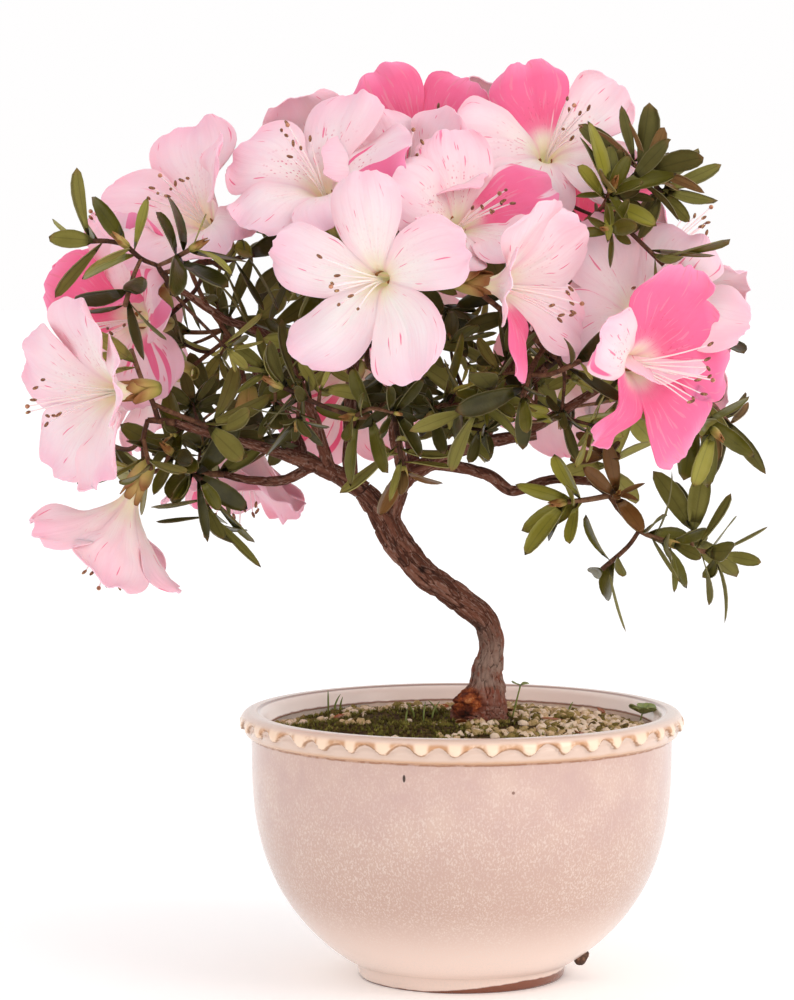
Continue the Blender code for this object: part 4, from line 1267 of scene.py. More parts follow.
# %% [markdown]
# ## Petal tissue
#
# Petals are thin, moist and matt. Light goes into them and comes out softened, which a little
# subsurface scattering gives. This azalea sports: most lobes are white to shell pink, some
# have short rose dashes, and here and there a sector or a whole lobe is hot pink, with a
# sharp edge along the veins. The upper lobes are freckled near the throat, which is cream
# and green inside. The tube's wall is so thin that daylight comes through it, and a weak glow
# stands for that. The colours are worked out from a petal's own flat coordinates and from
# four marks that each lobe carries.

# %% Petal tissue
# Moist and matt, with light that spreads a millimetre or two inside.
PETAL_MARKS = ("blush", "rosy", "freckle", "seed")
soft = {"Subsurface Weight": 0.5, "Subsurface Scale": 0.002, "Specular IOR Level": 0.3}
petal_tissue, tree, shader = new_finish("azalea petal tissue", "#FBE3E8", 0.55, soft)
shader.inputs["Subsurface Radius"].default_value = (1.0, 0.55, 0.5)
over_petal, up_petal = own_flat(tree)
mark = {name: mark_of(tree, name) for name in PETAL_MARKS}


def on_petal(over_scale, up_scale, seed_scale):
    """A place on the petal, stretched along it and different on each one."""
    run = {"X": product(over_petal, over_scale), "Y": product(up_petal, up_scale)}
    run["Z"] = product(mark["seed"], seed_scale)
    return add_node(mark["seed"].id_data, "ShaderNodeCombineXYZ", run).outputs[0]


# The ground: pale or pink, by cloudy patches, with a pinker margin and fine veins.
white_ground = ramp(
    up_petal, (0.0, "#D4D298"), (0.22, "#E2DCAE"), (0.36, "#F3E8CE"),
    (0.48, "#FAE9E2"), (0.74, "#FADFE2"), (1.0, "#F8CDD8"),
)
pink_ground = ramp(
    up_petal, (0.0, "#D2CB94"), (0.22, "#E4D2AC"), (0.36, "#F3D3C4"),
    (0.5, "#F9CFD4"), (0.8, "#F8C2D0"), (1.0, "#F5AEC4"),
)
cloud = spots(on_petal(3.0, 2.2, 11.0), 1.0, 3.0)
rosy_share = maths("MULTIPLY_ADD", maths("SUBTRACT", cloud, 0.5), 1.6, mark["rosy"], use_clamp=True)
tissue = lay_on(white_ground, rosy_share, pink_ground)
margin = ramp(over_petal, (0.0, "#FFFFFF"), (0.24, "#000000"), (0.76, "#000000"), (1.0, "#FFFFFF"))
tissue = lay_on(tissue, product(margin, product(cloud, 0.9)), "#F4B6C4")
veins = slope(spots(on_petal(34.0, 1.6, 5.0), 1.0, 2.0), 0.52, 0.72, 0.35, "LINEAR")
tissue = lay_on(tissue, veins, "#F3BECB")
# Hot pink sectors, as wide as the lobe's blush says, and short dashes of rose.
past_throat = slope(up_petal, 0.36, 0.5)
sector_edge = maths("MULTIPLY_ADD", mark["blush"], -0.58, 0.78)
sector = maths("SUBTRACT", spots(on_petal(3.4, 0.55, 17.0), 1.0, 1.0), sector_edge)
sector = product(slope(sector, 0.0, 0.012, kind="LINEAR"), past_throat)
hot_pink = ramp(up_petal, (0.3, "#F59DB4"), (0.55, "#F0648F"), (0.85, "#F26A97"), (1.0, "#F78BB0"))
tissue = lay_on(tissue, sector, hot_pink)
dash_edge = maths("MULTIPLY_ADD", mark["blush"], -0.10, 0.715)
dash = maths("SUBTRACT", spots(on_petal(26.0, 5.0, 29.0), 1.0, 1.0), dash_edge)
tissue = lay_on(tissue, product(slope(dash, 0.0, 0.03, kind="LINEAR"), past_throat), "#EE7D9C")
# Freckles near the throat.
cells = add_node(tree, "ShaderNodeTexVoronoi", {"Vector": on_petal(15.0, 26.0, 1.0), "Scale": 1.0})
dot = slope(cells.outputs["Distance"], 0.27, 0.2, kind="LINEAR")
near_throat = ramp(up_petal, (0.36, "#000000"), (0.46, "#FFFFFF"), (0.62, "#FFFFFF"), (0.76, "#000000"))
mid_petal = ramp(over_petal, (0.1, "#000000"), (0.3, "#FFFFFF"), (0.7, "#FFFFFF"), (0.9, "#000000"))
tissue = lay_on(tissue, product(dot, near_throat, mid_petal, mark["freckle"]), "#D9567C")
feed(shader, "Base Color", tissue)
# A painted glow near the throat: emission in the petal's own colour stands for daylight coming through the
# thin tube.
feed(shader, "Emission Color", tissue)
feed(shader, "Emission Strength", slope(up_petal, 0.42, 0.1, 0.3))
add_bump(shader, spots(on_petal(30.0, 3.0, 3.0), 1.0, 3.0), 0.35, 0.0006)

# %% [markdown]
# ## Colour of each bloom
#
# Two numbers for each bloom say how rosy its ground is and how freckled its upper lobes are,
# and one for each lobe, clockwise from the top, says how much of it is hot pink. They follow
# the plant, because a hot pink lobe is the first thing that the eye finds.

# %% Colour of each bloom
# How rosy, how freckled, and how much of each lobe is hot pink.
BLOOM_COLOURS = {
    "front": (0.34, 0.10, (0.0, 0.0, 0.0, 0.0, 0.0)),
    "front_right": (0.36, 0.20, (0.1, 0.0, 0.15, 1.0, 0.1)),
    "right_hot": (0.55, 0.70, (1.0, 1.0, 1.0, 1.0, 0.2)),
    "right_pale": (0.50, 0.10, (0.1, 0.2, 0.1, 0.0, 0.25)),
    "left": (0.45, 0.30, (0.1, 0.1, 0.05, 0.1, 0.1)),
    "left_low": (0.55, 0.10, (0.1, 0.1, 0.1, 0.1, 0.3)),
    "top_left": (0.60, 0.70, (0.05, 0.1, 0.1, 0.05, 0.1)),
    "top_right": (0.40, 0.40, (0.95, 0.05, 0.1, 0.1, 0.05)),
    "centre_right": (0.45, 0.60, (0.15, 0.62, 0.1, 0.1, 0.1)),
    "centre_top": (0.60, 0.30, (0.15, 0.1, 0.1, 0.1, 0.1)),
    "top": (0.60, 0.20, (1.0, 1.0, 0.2, 0.2, 0.2)),
    "upper_left": (0.65, 0.20, (0.0, 0.0, 0.05, 0.1, 0.0)),
    "left_hot": (0.70, 0.20, (0.25, 0.3, 0.3, 0.3, 1.0)),
    "right_back": (0.45, 0.20, (0.1, 0.1, 0.3, 0.1, 0.1)),
    "low_back": (0.75, 0.10, (0.1, 0.1, 0.1, 0.2, 0.1)),
    "inner_left": (0.60, 0.20, (0.2, 0.9, 0.9, 1.0, 0.35)),
    "back_top_left": (0.50, 0.40, (0.2, 0.1, 0.1, 0.1, 0.6)),
    "back_top_right": (0.40, 0.20, (0.1, 0.9, 0.3, 0.1, 0.1)),
    "back": (0.20, 0.20, (0.1, 0.0, 0.1, 0.1, 0.0)),
    "back_low": (0.50, 0.20, (0.2, 0.1, 0.5, 0.1, 0.1)),
    "back_side_left": (0.45, 0.40, (0.1, 0.2, 0.1, 0.3, 0.1)),
    "back_side_right": (0.60, 0.30, (0.9, 1.0, 0.4, 0.2, 0.6)),
    "right_side": (0.50, 0.30, (0.2, 0.5, 0.1, 0.1, 0.3)),
    "back_low_right": (0.55, 0.20, (0.1, 0.1, 0.3, 0.2, 0.1)),
}
# Lobes that stand aside of their place in degrees, narrow ones, and blooms with narrow lobes.
SWAY = {"front": (0, 0, 15, 15, 0)}
NARROW_LOBES = {("front_right", 3): 0.5, ("right_hot", 3): 0.45, ("right_hot", 4): 0.8}
STAR_BLOOMS = {"front": 0.86, "front_right": 0.95}
USUAL_WIDTH = 1.1
STAR_RUFFLE = 1.2
USUAL_RUFFLE = 1.7


def in_bloom(name, points):
    """Points in a bloom's own axes, set in its place on the plant."""
    _, mouth, facing, turn, size, _ = BLOOMS[name]
    basis = np.array(frame_of(facing, turn))
    return np.array(bloom_base(mouth, facing, size)) + np.asarray(points) * size @ basis.T


def round_axis(surface, turn):
    """A surface turned clockwise about the axis of its bloom."""
    cosine, sine = math.cos(turn), math.sin(turn)
    return surface @ np.array([[cosine, sine, 0], [-sine, cosine, 0], [0, 0, 1]]).T


petal_points, petal_faces, petal_total = [], [], 0
for name, openness in opened.items():
    bloom = Bundle(*PETAL_MARKS)
    dice = random.Random("petals of " + name)
    rosy, freckle, blush = BLOOM_COLOURS[name]
    ruffle = STAR_RUFFLE if name in STAR_BLOOMS else USUAL_RUFFLE
    for lobe in range(LOBES):
        wide = NARROW_LOBES.get((name, lobe), STAR_BLOOMS.get(name, USUAL_WIDTH))
        more_sway = SWAY.get(name, (0,) * LOBES)[lobe]
        surface = lobe_surface(openness, lobe, dice, more_sway, wide, ruffle)
        surface = in_bloom(name, round_axis(surface, math.tau * lobe / LOBES))
        normal = np.cross(np.gradient(surface, axis=1), np.gradient(surface, axis=0))
        normal /= np.linalg.norm(normal, axis=-1, keepdims=True)
        sides = [(surface + normal * lift).reshape(-1, 3) for lift in (PETAL_SHEET / 2, -PETAL_SHEET / 2)]
        upper = lobe in (0, 1, LOBES - 1)
        bloom.add(
            np.concatenate(sides),
            PETAL_LAYOUT,
            blush=blush[lobe],
            rosy=rosy + dice.uniform(-0.08, 0.08),
            freckle=freckle if upper else freckle * 0.2,
            seed=dice.uniform(0, 1),
        )
        petal_points.append(surface.reshape(-1, 3))
        for face in PETAL_LAYOUT[0][: PETAL_ACROSS * PETAL_ALONG]:
            petal_faces.append(tuple(petal_total + corner for corner in face))
        petal_total += len(petal_points[-1])
    piece = bloom.make("bloom_" + name, petal_tissue, columns=LOBES)
    piece.data.set_sharp_from_angle(angle=math.radians(60))
    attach(piece, "root")
# All petals as one surface, so that twigs and leaves can be kept out of them.
petals = BVHTree.FromPolygons(np.concatenate(petal_points).tolist(), petal_faces)

# %% [markdown]
# ## Stamens and pistils
#
# Seven or eight white filaments and a longer pistil rise from the foot of the funnel. They
# lean to one side and curve up again, and each ends in a brown anther, the pistil in a small
# round stigma. They're thin tapering tubes, and the anthers are small closed ellipsoids.

# %% Stamens and pistils
STAMENS = (7, 8)
STAMEN_LENGTH = (38.0, 45.0)
PISTIL_LENGTH = 49.0
FILAMENT_RADIUS = 0.34
ANTHER_SIZE = (1.25, 0.55)
STAMEN_LEAN = {
    "front": 238,
    "right_hot": 100,
    "left": 235,
    "top_left": 215,
    "top_right": 120,
    "centre_right": 150,
}
STAMEN_FAN = 2.3
# Along a filament: share of its length, share of its lean, and share of its thickness.
STAMEN_STOPS = ((0.08, 0.05, 1.0), (0.4, 0.22, 0.95), (0.72, 0.62, 0.8), (1.0, 1.0, 0.6))


def ball_layout(sides, rings):
    """Faces of a closed ball and its flat coordinates."""
    faces = []
    for side in range(sides):
        after = (side + 1) % sides
        faces.append((0, 1 + after, 1 + side))
        for ring in range(rings - 1):
            low = 1 + ring * sides
            faces.append((low + side, low + after, low + sides + after, low + sides + side))
        low = 1 + (rings - 1) * sides
        faces.append((low + side, low + after, 1 + rings * sides))
    flat = [(0.5, 0.0)]
    flat += [(side / sides, (ring + 1) / (rings + 1)) for ring in range(rings) for side in range(sides)]
    flat.append((0.5, 1.0))
    own = flat_corners(faces, flat)
    return faces, own, own


def ball(centre, way, long, wide, sides, rings):
    """Points of an ellipsoid that lies along a way."""
    across = way.orthogonal().normalized()
    other = way.cross(across)
    points = [centre - way * long]
    for ring in range(rings):
        tilt = math.pi * (ring + 1) / (rings + 1)
        for side in range(sides):
            turn = 2 * math.pi * side / sides
            out = (across * math.cos(turn) + other * math.sin(turn)) * math.sin(tilt) * wide
            points.append(centre - way * math.cos(tilt) * long + out)
    points.append(centre + way * long)
    return points


FILAMENT, ANTHER, STIGMA = 0, 1, 2
ANTHER_LAYOUT = ball_layout(7, 5)
stamens = Bundle()
for name in opened:
    dice = random.Random("stamens of " + name)
    _, mouth, facing, turn, size, _ = BLOOMS[name]
    basis = frame_of(facing, turn)
    base = bloom_base(mouth, facing, size)
    lean = math.radians(STAMEN_LEAN.get(name, dice.uniform(150, 210)))
    count = dice.randint(*STAMENS)
    for i in range(count + 1):
        pistil = i == count
        length = (PISTIL_LENGTH if pistil else dice.uniform(*STAMEN_LENGTH)) * size
        fan = lean
        if not pistil:
            fan = lean + ((i / (count - 1) - 0.5) * STAMEN_FAN + dice.uniform(-0.12, 0.12))
        out = Vector((math.sin(fan), math.cos(fan), 0))
        apart = length * (0.10 if pistil else dice.uniform(0.13, 0.26))
        stations = []
        for part, side, thick in STAMEN_STOPS:
            rise = Vector((0, 0, length * part * (1 - 0.06 * part)))
            place = base + basis @ (rise + out * apart * side**1.3)
            stations.append((*place, FILAMENT_RADIUS * thick * (1.2 if pistil else 1.0)))
        add_tube(stamens, stations, 5, 4, FILAMENT)
        end = Vector(stations[-1][:3])
        way = (end - Vector(stations[-2][:3])).normalized()
        if pistil:
            stamens.add(ball(end, way, 0.8, 0.8, 7, 5), ANTHER_LAYOUT, STIGMA)
        else:
            across = (way + basis @ Vector((dice.uniform(-1, 1), dice.uniform(-1, 1), 0.3))).normalized()
            stamens.add(ball(end + across * 0.5, across, *ANTHER_SIZE, 7, 5), ANTHER_LAYOUT, ANTHER)

# White, a little see-through, green at the foot and pink at the end.
filament_glow = {"Subsurface Weight": 0.2, "Subsurface Scale": 0.001}
filament_finish, tree, shader = new_finish("azalea filament", "#FBEFF0", 0.5, filament_glow)
tint = ramp(own_flat(tree)[1], (0.0, "#E4E6B8"), (0.4, "#FBF3EC"), (1.0, "#F9DFE4"))
feed(shader, "Base Color", tint)

# Dry and brown, with paler pollen.
anther_finish, tree, shader = new_finish("ripe anther", "#8A5A3C", 0.7)
pollen = spots(own_place(tree), 1600.0)
feed(shader, "Base Color", ramp(pollen, (0.35, "#5E3526"), (0.55, "#8A5A3C"), (0.7, "#C09A6A")))

# Wet, so it glints.
stigma_finish, tree, shader = new_finish("sticky stigma", "#B9506A", 0.3)
feed(shader, "Base Color", ramp(spots(own_place(tree), 900.0), (0.4, "#8E5A3A"), (0.6, "#C98A6A")))

piece = stamens.make("stamens", filament_finish, anther_finish, stigma_finish)
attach(piece, "root")

# %% [markdown]
# ## The crown carried on
#
# The rule's tips are few. The same rule goes on here with more tips in each mass, closer to
# each other, on finer twigs. Only petals and limbs are tested now, because on a real plant
# leaves and twigs do brush past each other.

# %% The crown carried on
# How many more tips, round which middle, and how far from it.
FINE_TIPS = {
    "left_low_mass": (3, (-78, -14, 176), (24, 22, 14)),
    "left_front_mass": (3, (-80, -30, 192), (24, 24, 16)),
    "left_top_mass": (1, (-70, -36, 226), (22, 22, 16)),
    "front_mass": (18, (-22, -40, 206), (50, 26, 24)),
    "top_mass": (8, (-29, 6, 246), (44, 30, 22)),
    "right_front_mass": (12, (30, -34, 204), (40, 26, 20)),
    "right_top_mass": (4, (50, -28, 262), (26, 22, 20)),
    "right_low_mass": (2, (38, -14, 172), (26, 22, 12)),
    "right_end_mass": (3, (60, 0, 204), (26, 28, 24)),
    "back_left_mass": (7, (-76, 52, 204), (40, 30, 26)),
    "back_mass": (16, (-28, 50, 216), (44, 32, 40)),
    "back_right_mass": (14, (40, 40, 216), (40, 32, 36)),
}
FINE_SPREAD = 8.5
FINE_TRIES = 240
FINE_TIP_RADIUS = 0.5
FINE_LEAVES = (5, 9)
MORE_LEAVES = (0, 1)
# The mass at the right top carries full whorls at its buds, where the eye sees them well.
FULL_WHORL = ("right_top_mass", (6, 10))
WHORL_LEAVES = (1, 3)
FINE_LENGTH = (8.0, 19.0)
WHORL_LENGTH = (13.0, 25.0)
FINE_TILT = (25.0, 88.0)
PETAL_ROOM = 0.5
NEAREST_NODES = 10
FINE_STEM = 0.8
FINE_MIDDLE = 0.62

limb_points, limb_faces = [], []
for limb in limbs.values():
    points, faces = tube(limb.path, limb.radii, BOUGH_SIDES, limb.start_way)
    limb_faces += [tuple(corner + len(limb_points) for corner in face) for face in faces]
    limb_points += points
wood = BVHTree.FromPolygons(limb_points, limb_faces)


def fine_twig(mass, target, arrive):
    """A thin twig from the nearest place of the mass that meets no petal and no limb."""
    nearest = sorted(mass.nodes, key=lambda node: (target - node[0]).length)[:NEAREST_NODES]
    for bow in TWIG_BOWS[:2]:
        for node in nearest:
            if (target - node[0]).length < SHORTEST_TWIG:
                continue
            path, radii = twig_route(node, target, arrive, bow)
            radii = [min(radii[0], FINE_STEM), FINE_MIDDLE, FINE_TIP_RADIUS]
            wide = [radius + PETAL_ROOM for radius in radii]
            new = BVHTree.FromPolygons(*tube(path, wide, TWIG_SIDES))
            if new.overlap(petals) or new.overlap(wood):
                continue
            mass.note(path, radii)
            mass.twigs.append((path, radii))
            return Tip(path[1], target, "fine")
    return None


fine_ends = {}
for mass in masses.values():
    ends = list(mass.ends)
    fine_ends[mass.name] = []
    wanted, middle, reach = FINE_TIPS[mass.name]
    for _ in range(FINE_TRIES):
        if len(fine_ends[mass.name]) == wanted:
            break
        throw = [mass.dice.uniform(-1, 1) for _ in range(3)]
        place = Vector(middle) + Vector([part * half for part, half in zip(throw, reach)])
        away = place - mass.heart
        nearest = min((place - end.place).length for end in ends)
        if sum(part**2 for part in throw) > 1 or nearest < FINE_SPREAD:
            continue
        end = fine_twig(mass, place, (away.normalized() + UPWARDS).normalized())
        if end:
            ends.append(end)
            fine_ends[mass.name].append(end)
print("finer tips:", {name: len(ends) for name, ends in fine_ends.items()})

# %% [markdown]
# ## Twigs
#
# All stems and twigs are thin, dark brown tubes on smooth paths, joined as one mesh, which
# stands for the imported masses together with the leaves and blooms.

# %% Twigs
twigs = Bundle("tone")
for mass in masses.values():
    for path, radii in mass.twigs:
        stations = [(*point, radius) for point, radius in zip(path, radii)]
        add_tube(twigs, stations, 6, 4, tone=mass.dice.random())

# Dark and dull, with a tone for each twig and fine paler specks.
twig_bark, tree, shader = new_finish("young azalea bark", "#4A2E20", 0.75, {"Specular IOR Level": 0.3})
speck = spots(own_place(tree), 420.0, 4.0, 0.7)
tone = maths("MULTIPLY_ADD", mark_of(tree, "tone"), 0.4, speck)
tint = ramp(tone, (0.4, "#2E1A12"), (0.62, "#50301F"), (0.8, "#765038"), (1.0, "#8C6A4E"))
feed(shader, "Base Color", tint)
add_bump(shader, speck, 0.4, 0.0003)
piece = twigs.make("twigs", twig_bark)
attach(piece, "root")
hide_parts(*MASSES)

# %% [markdown]
# ## Leaves
#
# An azalea leaf is a small narrow ellipse with a pointed tip, folded a little along its
# midrib and bent back. Each is a closed lens of about a hundred triangles. Colour comes from
# the spray: old leaves are dark green, young ones yellow green, a few are bronze, and every
# leaf is paler below. So the leaves of each colour make one mesh, with one finish for the
# upper side and one for the lower side.

# %% Leaves
LEAF_ACROSS = 4
LEAF_ALONG = 7
BLADE_WIDTH = 0.35
BLADE_SHEET = 0.35
# Name, upper side and lower side, and how many of the whorls are of each kind.
LEAF_TINTS = (
    ("bronze azalea leaf", "#6C4622", "#8C6C40"),
    ("dark azalea leaf", "#322F0A", "#5E5828"),
    ("green azalea leaf", "#565215", "#7A7436"),
    ("light azalea leaf", "#8A8430", "#9E964C"),
)
TINT_SHARES = (0.05, 0.42, 0.35, 0.18)
NARROW_SHARE = 0.3
# Half width of narrow and wide blades, and how full their outline is.
NARROW_BLADE = ((0.24, 0.34), 0.75)
WIDE_BLADE = ((0.39, 0.53), 0.55)
STALK_WIDTH = 0.5


def leaf_layout():
    """Faces of a leaf: foot, rows, tip, above and below, and their flat coordinates."""
    columns, rows = LEAF_ACROSS + 1, LEAF_ALONG - 1
    under = columns * rows
    foot, tip = 2 * under, 2 * under + 1
    top, low = [], []
    for j in range(LEAF_ACROSS):
        top.append((foot, j + 1, j)[::-1])
        low.append((foot, under + j + 1, under + j))
        for i in range(rows - 1):
            a = i * columns + j
            quad = (a, a + 1, a + columns + 1, a + columns)
            top.append(quad)
            low.append(tuple(under + corner for corner in reversed(quad)))
        a = (rows - 1) * columns + j
        top.append((a, a + 1, tip))
        low.append((under + a + 1, under + a, tip))
    edge = []
    for j in (0, LEAF_ACROSS):
        chain = [foot] + [i * columns + j for i in range(rows)] + [tip]
        for i in range(1, len(chain) - 2):
            a, b = chain[i], chain[i + 1]
            quad = (a, b, b + under, a + under)
            edge.append(quad if j else quad[::-1])
        ends = [(foot, chain[1], chain[1] + under), (chain[-2], tip, chain[-2] + under)]
        edge += ends if j else [face[::-1] for face in ends]
    flat = [(j / LEAF_ACROSS, (i + 1) / LEAF_ALONG) for i in range(rows) for j in range(columns)] * 2
    flat += [(0.5, 0.0), (0.5, 1.0)]
    faces = top + low + edge
    own = flat_corners(faces, flat)
    cell = own * (0.46, 1)
    below = sum(len(face) for face in top)
    cell[below : below + sum(len(face) for face in low), 0] += 0.54
    return (faces, own, cell), [0] * len(top) + [1] * len(low) + [0] * len(edge)


LEAF_LAYOUT, LEAF_SIDES = leaf_layout()


def leaf_points(root, along, normal, length, dice, wide=1.0):
    """Points of one bent and folded leaf."""
    side = along.cross(normal).normalized()
    fold, bend = dice.uniform(0.06, 0.3), dice.uniform(-0.12, 0.3)
    twist = dice.uniform(-0.7, 0.7)
    widths, fullness = NARROW_BLADE if dice.random() < NARROW_SHARE else WIDE_BLADE
    half = wide * length * BLADE_WIDTH * dice.uniform(*widths)
    blunt = dice.uniform(1.15, 1.5)

    def point(across, place, lift):
        width = half * math.sin(math.pi * place**blunt) ** fullness if 0 < place < 1 else 0.0
        width = max(width, STALK_WIDTH) if place < 0.2 else width
        turned = side * math.cos(twist * place) + normal * math.sin(twist * place)
        raised = normal * (abs(across) * width * fold - bend * length * place**2 + lift)
        reached = root + along * length * place * (1 - 0.25 * bend * place)
        return reached + turned * across * width + raised

    places = [1 - (1 - (i + 1) / LEAF_ALONG) ** 1.3 for i in range(LEAF_ALONG - 1)]
    spread = [2 * j / LEAF_ACROSS - 1 for j in range(LEAF_ACROSS + 1)]
    lifts = (BLADE_SHEET / 2, -BLADE_SHEET / 2)
    points = [point(across, place, lift) for lift in lifts for place in places for across in spread]
    return points + [point(0, 0, 0), point(0, 1, 0)]


leaf_bundles = [Bundle() for _ in LEAF_TINTS]


def add_leaf(bundle, leaf, dice):
    """Adds a leaf where no petal is in its way, and tells whether it did."""
    points = leaf_points(*leaf, dice)
    if BVHTree.FromPolygons(points, LEAF_LAYOUT[0][: 4 * LEAF_ALONG]).overlap(petals):
        return False
    bundle.add(points, LEAF_LAYOUT, LEAF_SIDES)
    return True


for mass in masses.values():
    dice = random.Random("leaves of " + mass.name)
    tints = [dice.choices(leaf_bundles, TINT_SHARES)[0] for _ in mass.ends]
    for *leaf, number in mass.leaves:
        add_leaf(tints[number], leaf, dice)
    for end in fine_ends[mass.name] + mass.ends:
        bundle = dice.choices(leaf_bundles, TINT_SHARES)[0]
        start = dice.uniform(0, 360)
        amount = WHORL_LEAVES if end.has_bud else MORE_LEAVES if end in mass.ends else FINE_LEAVES
        if end.has_bud and mass.name == FULL_WHORL[0]:
            amount = FULL_WHORL[1]
        lengths = WHORL_LENGTH if end.has_bud else FINE_LENGTH
        wanted = dice.randint(*amount)
        for i in range(2 * wanted):
            from_tip = 0.3 + 0.45 * i
            if not wanted or from_tip > end.stretch:
                break
            leaf = whorl(end, dice, start, i, from_tip, FINE_TILT, lengths)
            wanted -= add_leaf(bundle, leaf, dice)
print("leaves of each tint:", [len(bundle.cells) for bundle in leaf_bundles])

# %% [markdown]
# ## The colour of leaves
#
# The upper side has a waxy skin, so it shines a little and shows its net of veins in the
# light. The lower side is dull. The midrib is darker than the blade, the blade shades into
# the colour of its other side in patches, fine pale hairs stand along the edge, and the tip
# often turns reddish brown.

# %% Leaf finishes
MIDRIB_TINT = "#2A260E"
HAIR_TINT = "#B0A67A"


def leaf_finish(name, base, roughness, patches, tip):
    """One side of a leaf: waxy or dull by its roughness, patched, hairy at the edge."""
    made, tree, shader = new_finish(name, base, roughness, {"Specular IOR Level": 0.25})
    over, up = own_flat(tree)
    off = maths("ABSOLUTE", maths("SUBTRACT", over, 0.5))
    place = own_place(tree)
    blade = lay_on(base, slope(off, 0.05, 0.015, 0.3, "LINEAR"), MIDRIB_TINT)
    blade = lay_on(blade, slope(spots(place, 160.0, 3.0), 0.35, 0.65, 0.3, "LINEAR"), patches)
    blade = lay_on(blade, slope(off, 0.44, 0.5, 0.3, "LINEAR"), HAIR_TINT)
    blade = lay_on(blade, slope(up, 0.8, 1.0, 0.7, "LINEAR"), tip)
    feed(shader, "Base Color", blade)
    net = {"Vector": place, "Scale": 700.0}
    veins = add_node(tree, "ShaderNodeTexVoronoi", net, feature="DISTANCE_TO_EDGE")
    add_bump(shader, veins.outputs["Distance"], 0.25, 0.0003)
    return made


for bundle, (name, above, below) in zip(leaf_bundles, LEAF_TINTS):
    upper = leaf_finish(name, above, 0.34, below, "#6E4A2A")
    lower = leaf_finish(name + " underside", below, 0.7, above, "#7A5636")
    piece = bundle.make(name.replace(" ", "_"), upper, lower)
    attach(piece, "root")

# %% [markdown]
# ## Bud scales and buds
#
# Each bloom comes out of a winter bud, and the bud's scales stay round its foot: pointed,
# hollow, yellow green with brown tips. Closed leaf buds of the same kind stand at the ends of
# the twigs. Both are made from one pointed scale, a closed shell that curls round an axis.

# %% Bud scales and buds
SCALE_ACROSS = 4
SCALE_ALONG = 6
SCALE_SHEET = 0.4
SCALE_SPAN = 0.95
# How many, how long and how far out, in the outer and the inner ring round a bloom's foot.
BLOOM_SCALES = ((4, 12.0, 4.8), (5, 16.0, 4.0))
BUD_SCALES = 3
BUD_SHARE = 0.6
SCALE_LAYOUT = sheet_layout(SCALE_ACROSS, SCALE_ALONG)


def scale_points(foot, way, turn, length, radius, flare):
    """A pointed scale on the surface of a spindle round an axis."""
    across = way.orthogonal().normalized()
    other = way.cross(across)
    points = []
    for lift in (SCALE_SHEET / 2, -SCALE_SHEET / 2):
        for i in range(SCALE_ALONG + 1):
            place = i / SCALE_ALONG
            belly = radius * (0.45 + 0.9 * place - 1.1 * place**2 * (1 - flare)) + lift
            span = SCALE_SPAN * math.sqrt(max(0.02, 1 - place**2.2))
            for j in range(SCALE_ACROSS + 1):
                around = turn + span * (2 * j / SCALE_ACROSS - 1)
                out = across * math.cos(around) + other * math.sin(around)
                points.append(foot + way * length * place + out * belly)
    return points


scales = Bundle("tone")
for name in opened:
    dice = random.Random("scales of " + name)
    _, mouth, facing, turn, size, _ = BLOOMS[name]
    way = Vector(facing).normalized()
    base = bloom_base(mouth, facing, size)
    for ring, (count, length, radius) in enumerate(BLOOM_SCALES):
        for i in range(count):
            around = math.tau * (i / count + ring * 0.13) + dice.uniform(-0.2, 0.2)
            long = length * dice.uniform(0.85, 1.1) * size
            foot = base - way * (2.5 - ring)
            points = scale_points(foot, way, around, long, radius * size, dice.uniform(0.25, 0.7))
            scales.add(points, SCALE_LAYOUT, tone=dice.uniform(0.2, 0.8))
buds = [(place, way, 1.0) for mass in masses.values() for place, way in mass.buds]
for name, ends in fine_ends.items():
    dice = random.Random("buds of " + name)
    buds += [(end.place, end.way, dice.uniform(0.4, 0.75)) for end in ends if dice.random() < BUD_SHARE]
for place, way, size in buds:
    dice = random.Random(str([round(c, 1) for c in place]))
    for ring in range(2):
        for i in range(BUD_SCALES):
            around = math.tau * (i / BUD_SCALES + ring / 6)
            foot = place - way * 1.2 * size
            long = BUD_LENGTH * size * (0.85 + 0.25 * ring)
            points = scale_points(foot, way, around, long, (2.0 - 0.35 * ring) * size, 0.05)
            scales.add(points, SCALE_LAYOUT, tone=dice.uniform(0.0, 1.0))

# Dry and papery, yellow green at the foot and brown towards the tip, browner on older scales.
bud_scale, tree, shader = new_finish("azalea bud scale", "#8E8A42", 0.6)
age = maths("MULTIPLY_ADD", mark_of(tree, "tone"), 0.35, own_flat(tree)[1])
tint = ramp(age, (0.0, "#848436"), (0.4, "#B0A050"), (0.75, "#BC9A58"), (1.0, "#94602F"))
feed(shader, "Base Color", tint)
piece = scales.make("bud_scales", bud_scale)
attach(piece, "root")

# %% [markdown]
# ## The bowl
#
# The bowl was thrown on a wheel, so a turned outline makes it. Its sizes are the packed
# part's. Along the upper side of the rolled rim a thumb pressed a running wave of round
# drops with arches between them, which are raised here by moving the points of the turned
# shape.

# %% The bowl
RIM_ACROSS = 150.0
RIM_ROLL = 4.3
RIM_HEIGHT = 91.0
BODY_TOP_RADIUS = 71.4
BODY_DEPTH = 78.0
FOOT_RADIUS = 35.0
FOOT_HEIGHT = 5.0
WALL = 6.0
FLOOR = 9.0
BELLY_CURVE = 2.8
FOOT_CURVE = 1.15
BOWL_SIDES = 432
BODY_RINGS = 40
RIM_RINGS = 42
# The rolled rim is an arc of a circle, from its underside over the top to the inside.
RIM_START = -76
RIM_SWEEP = 232
RIM_CENTRE = RIM_ACROSS / 2 - RIM_ROLL
RIM_LEVEL = RIM_HEIGHT - RIM_ROLL
SCALLOPS = 40
SCALLOP_LOW = 85.3
SCALLOP_RISE = 3.2
SCALLOP_RELIEF = 1.25
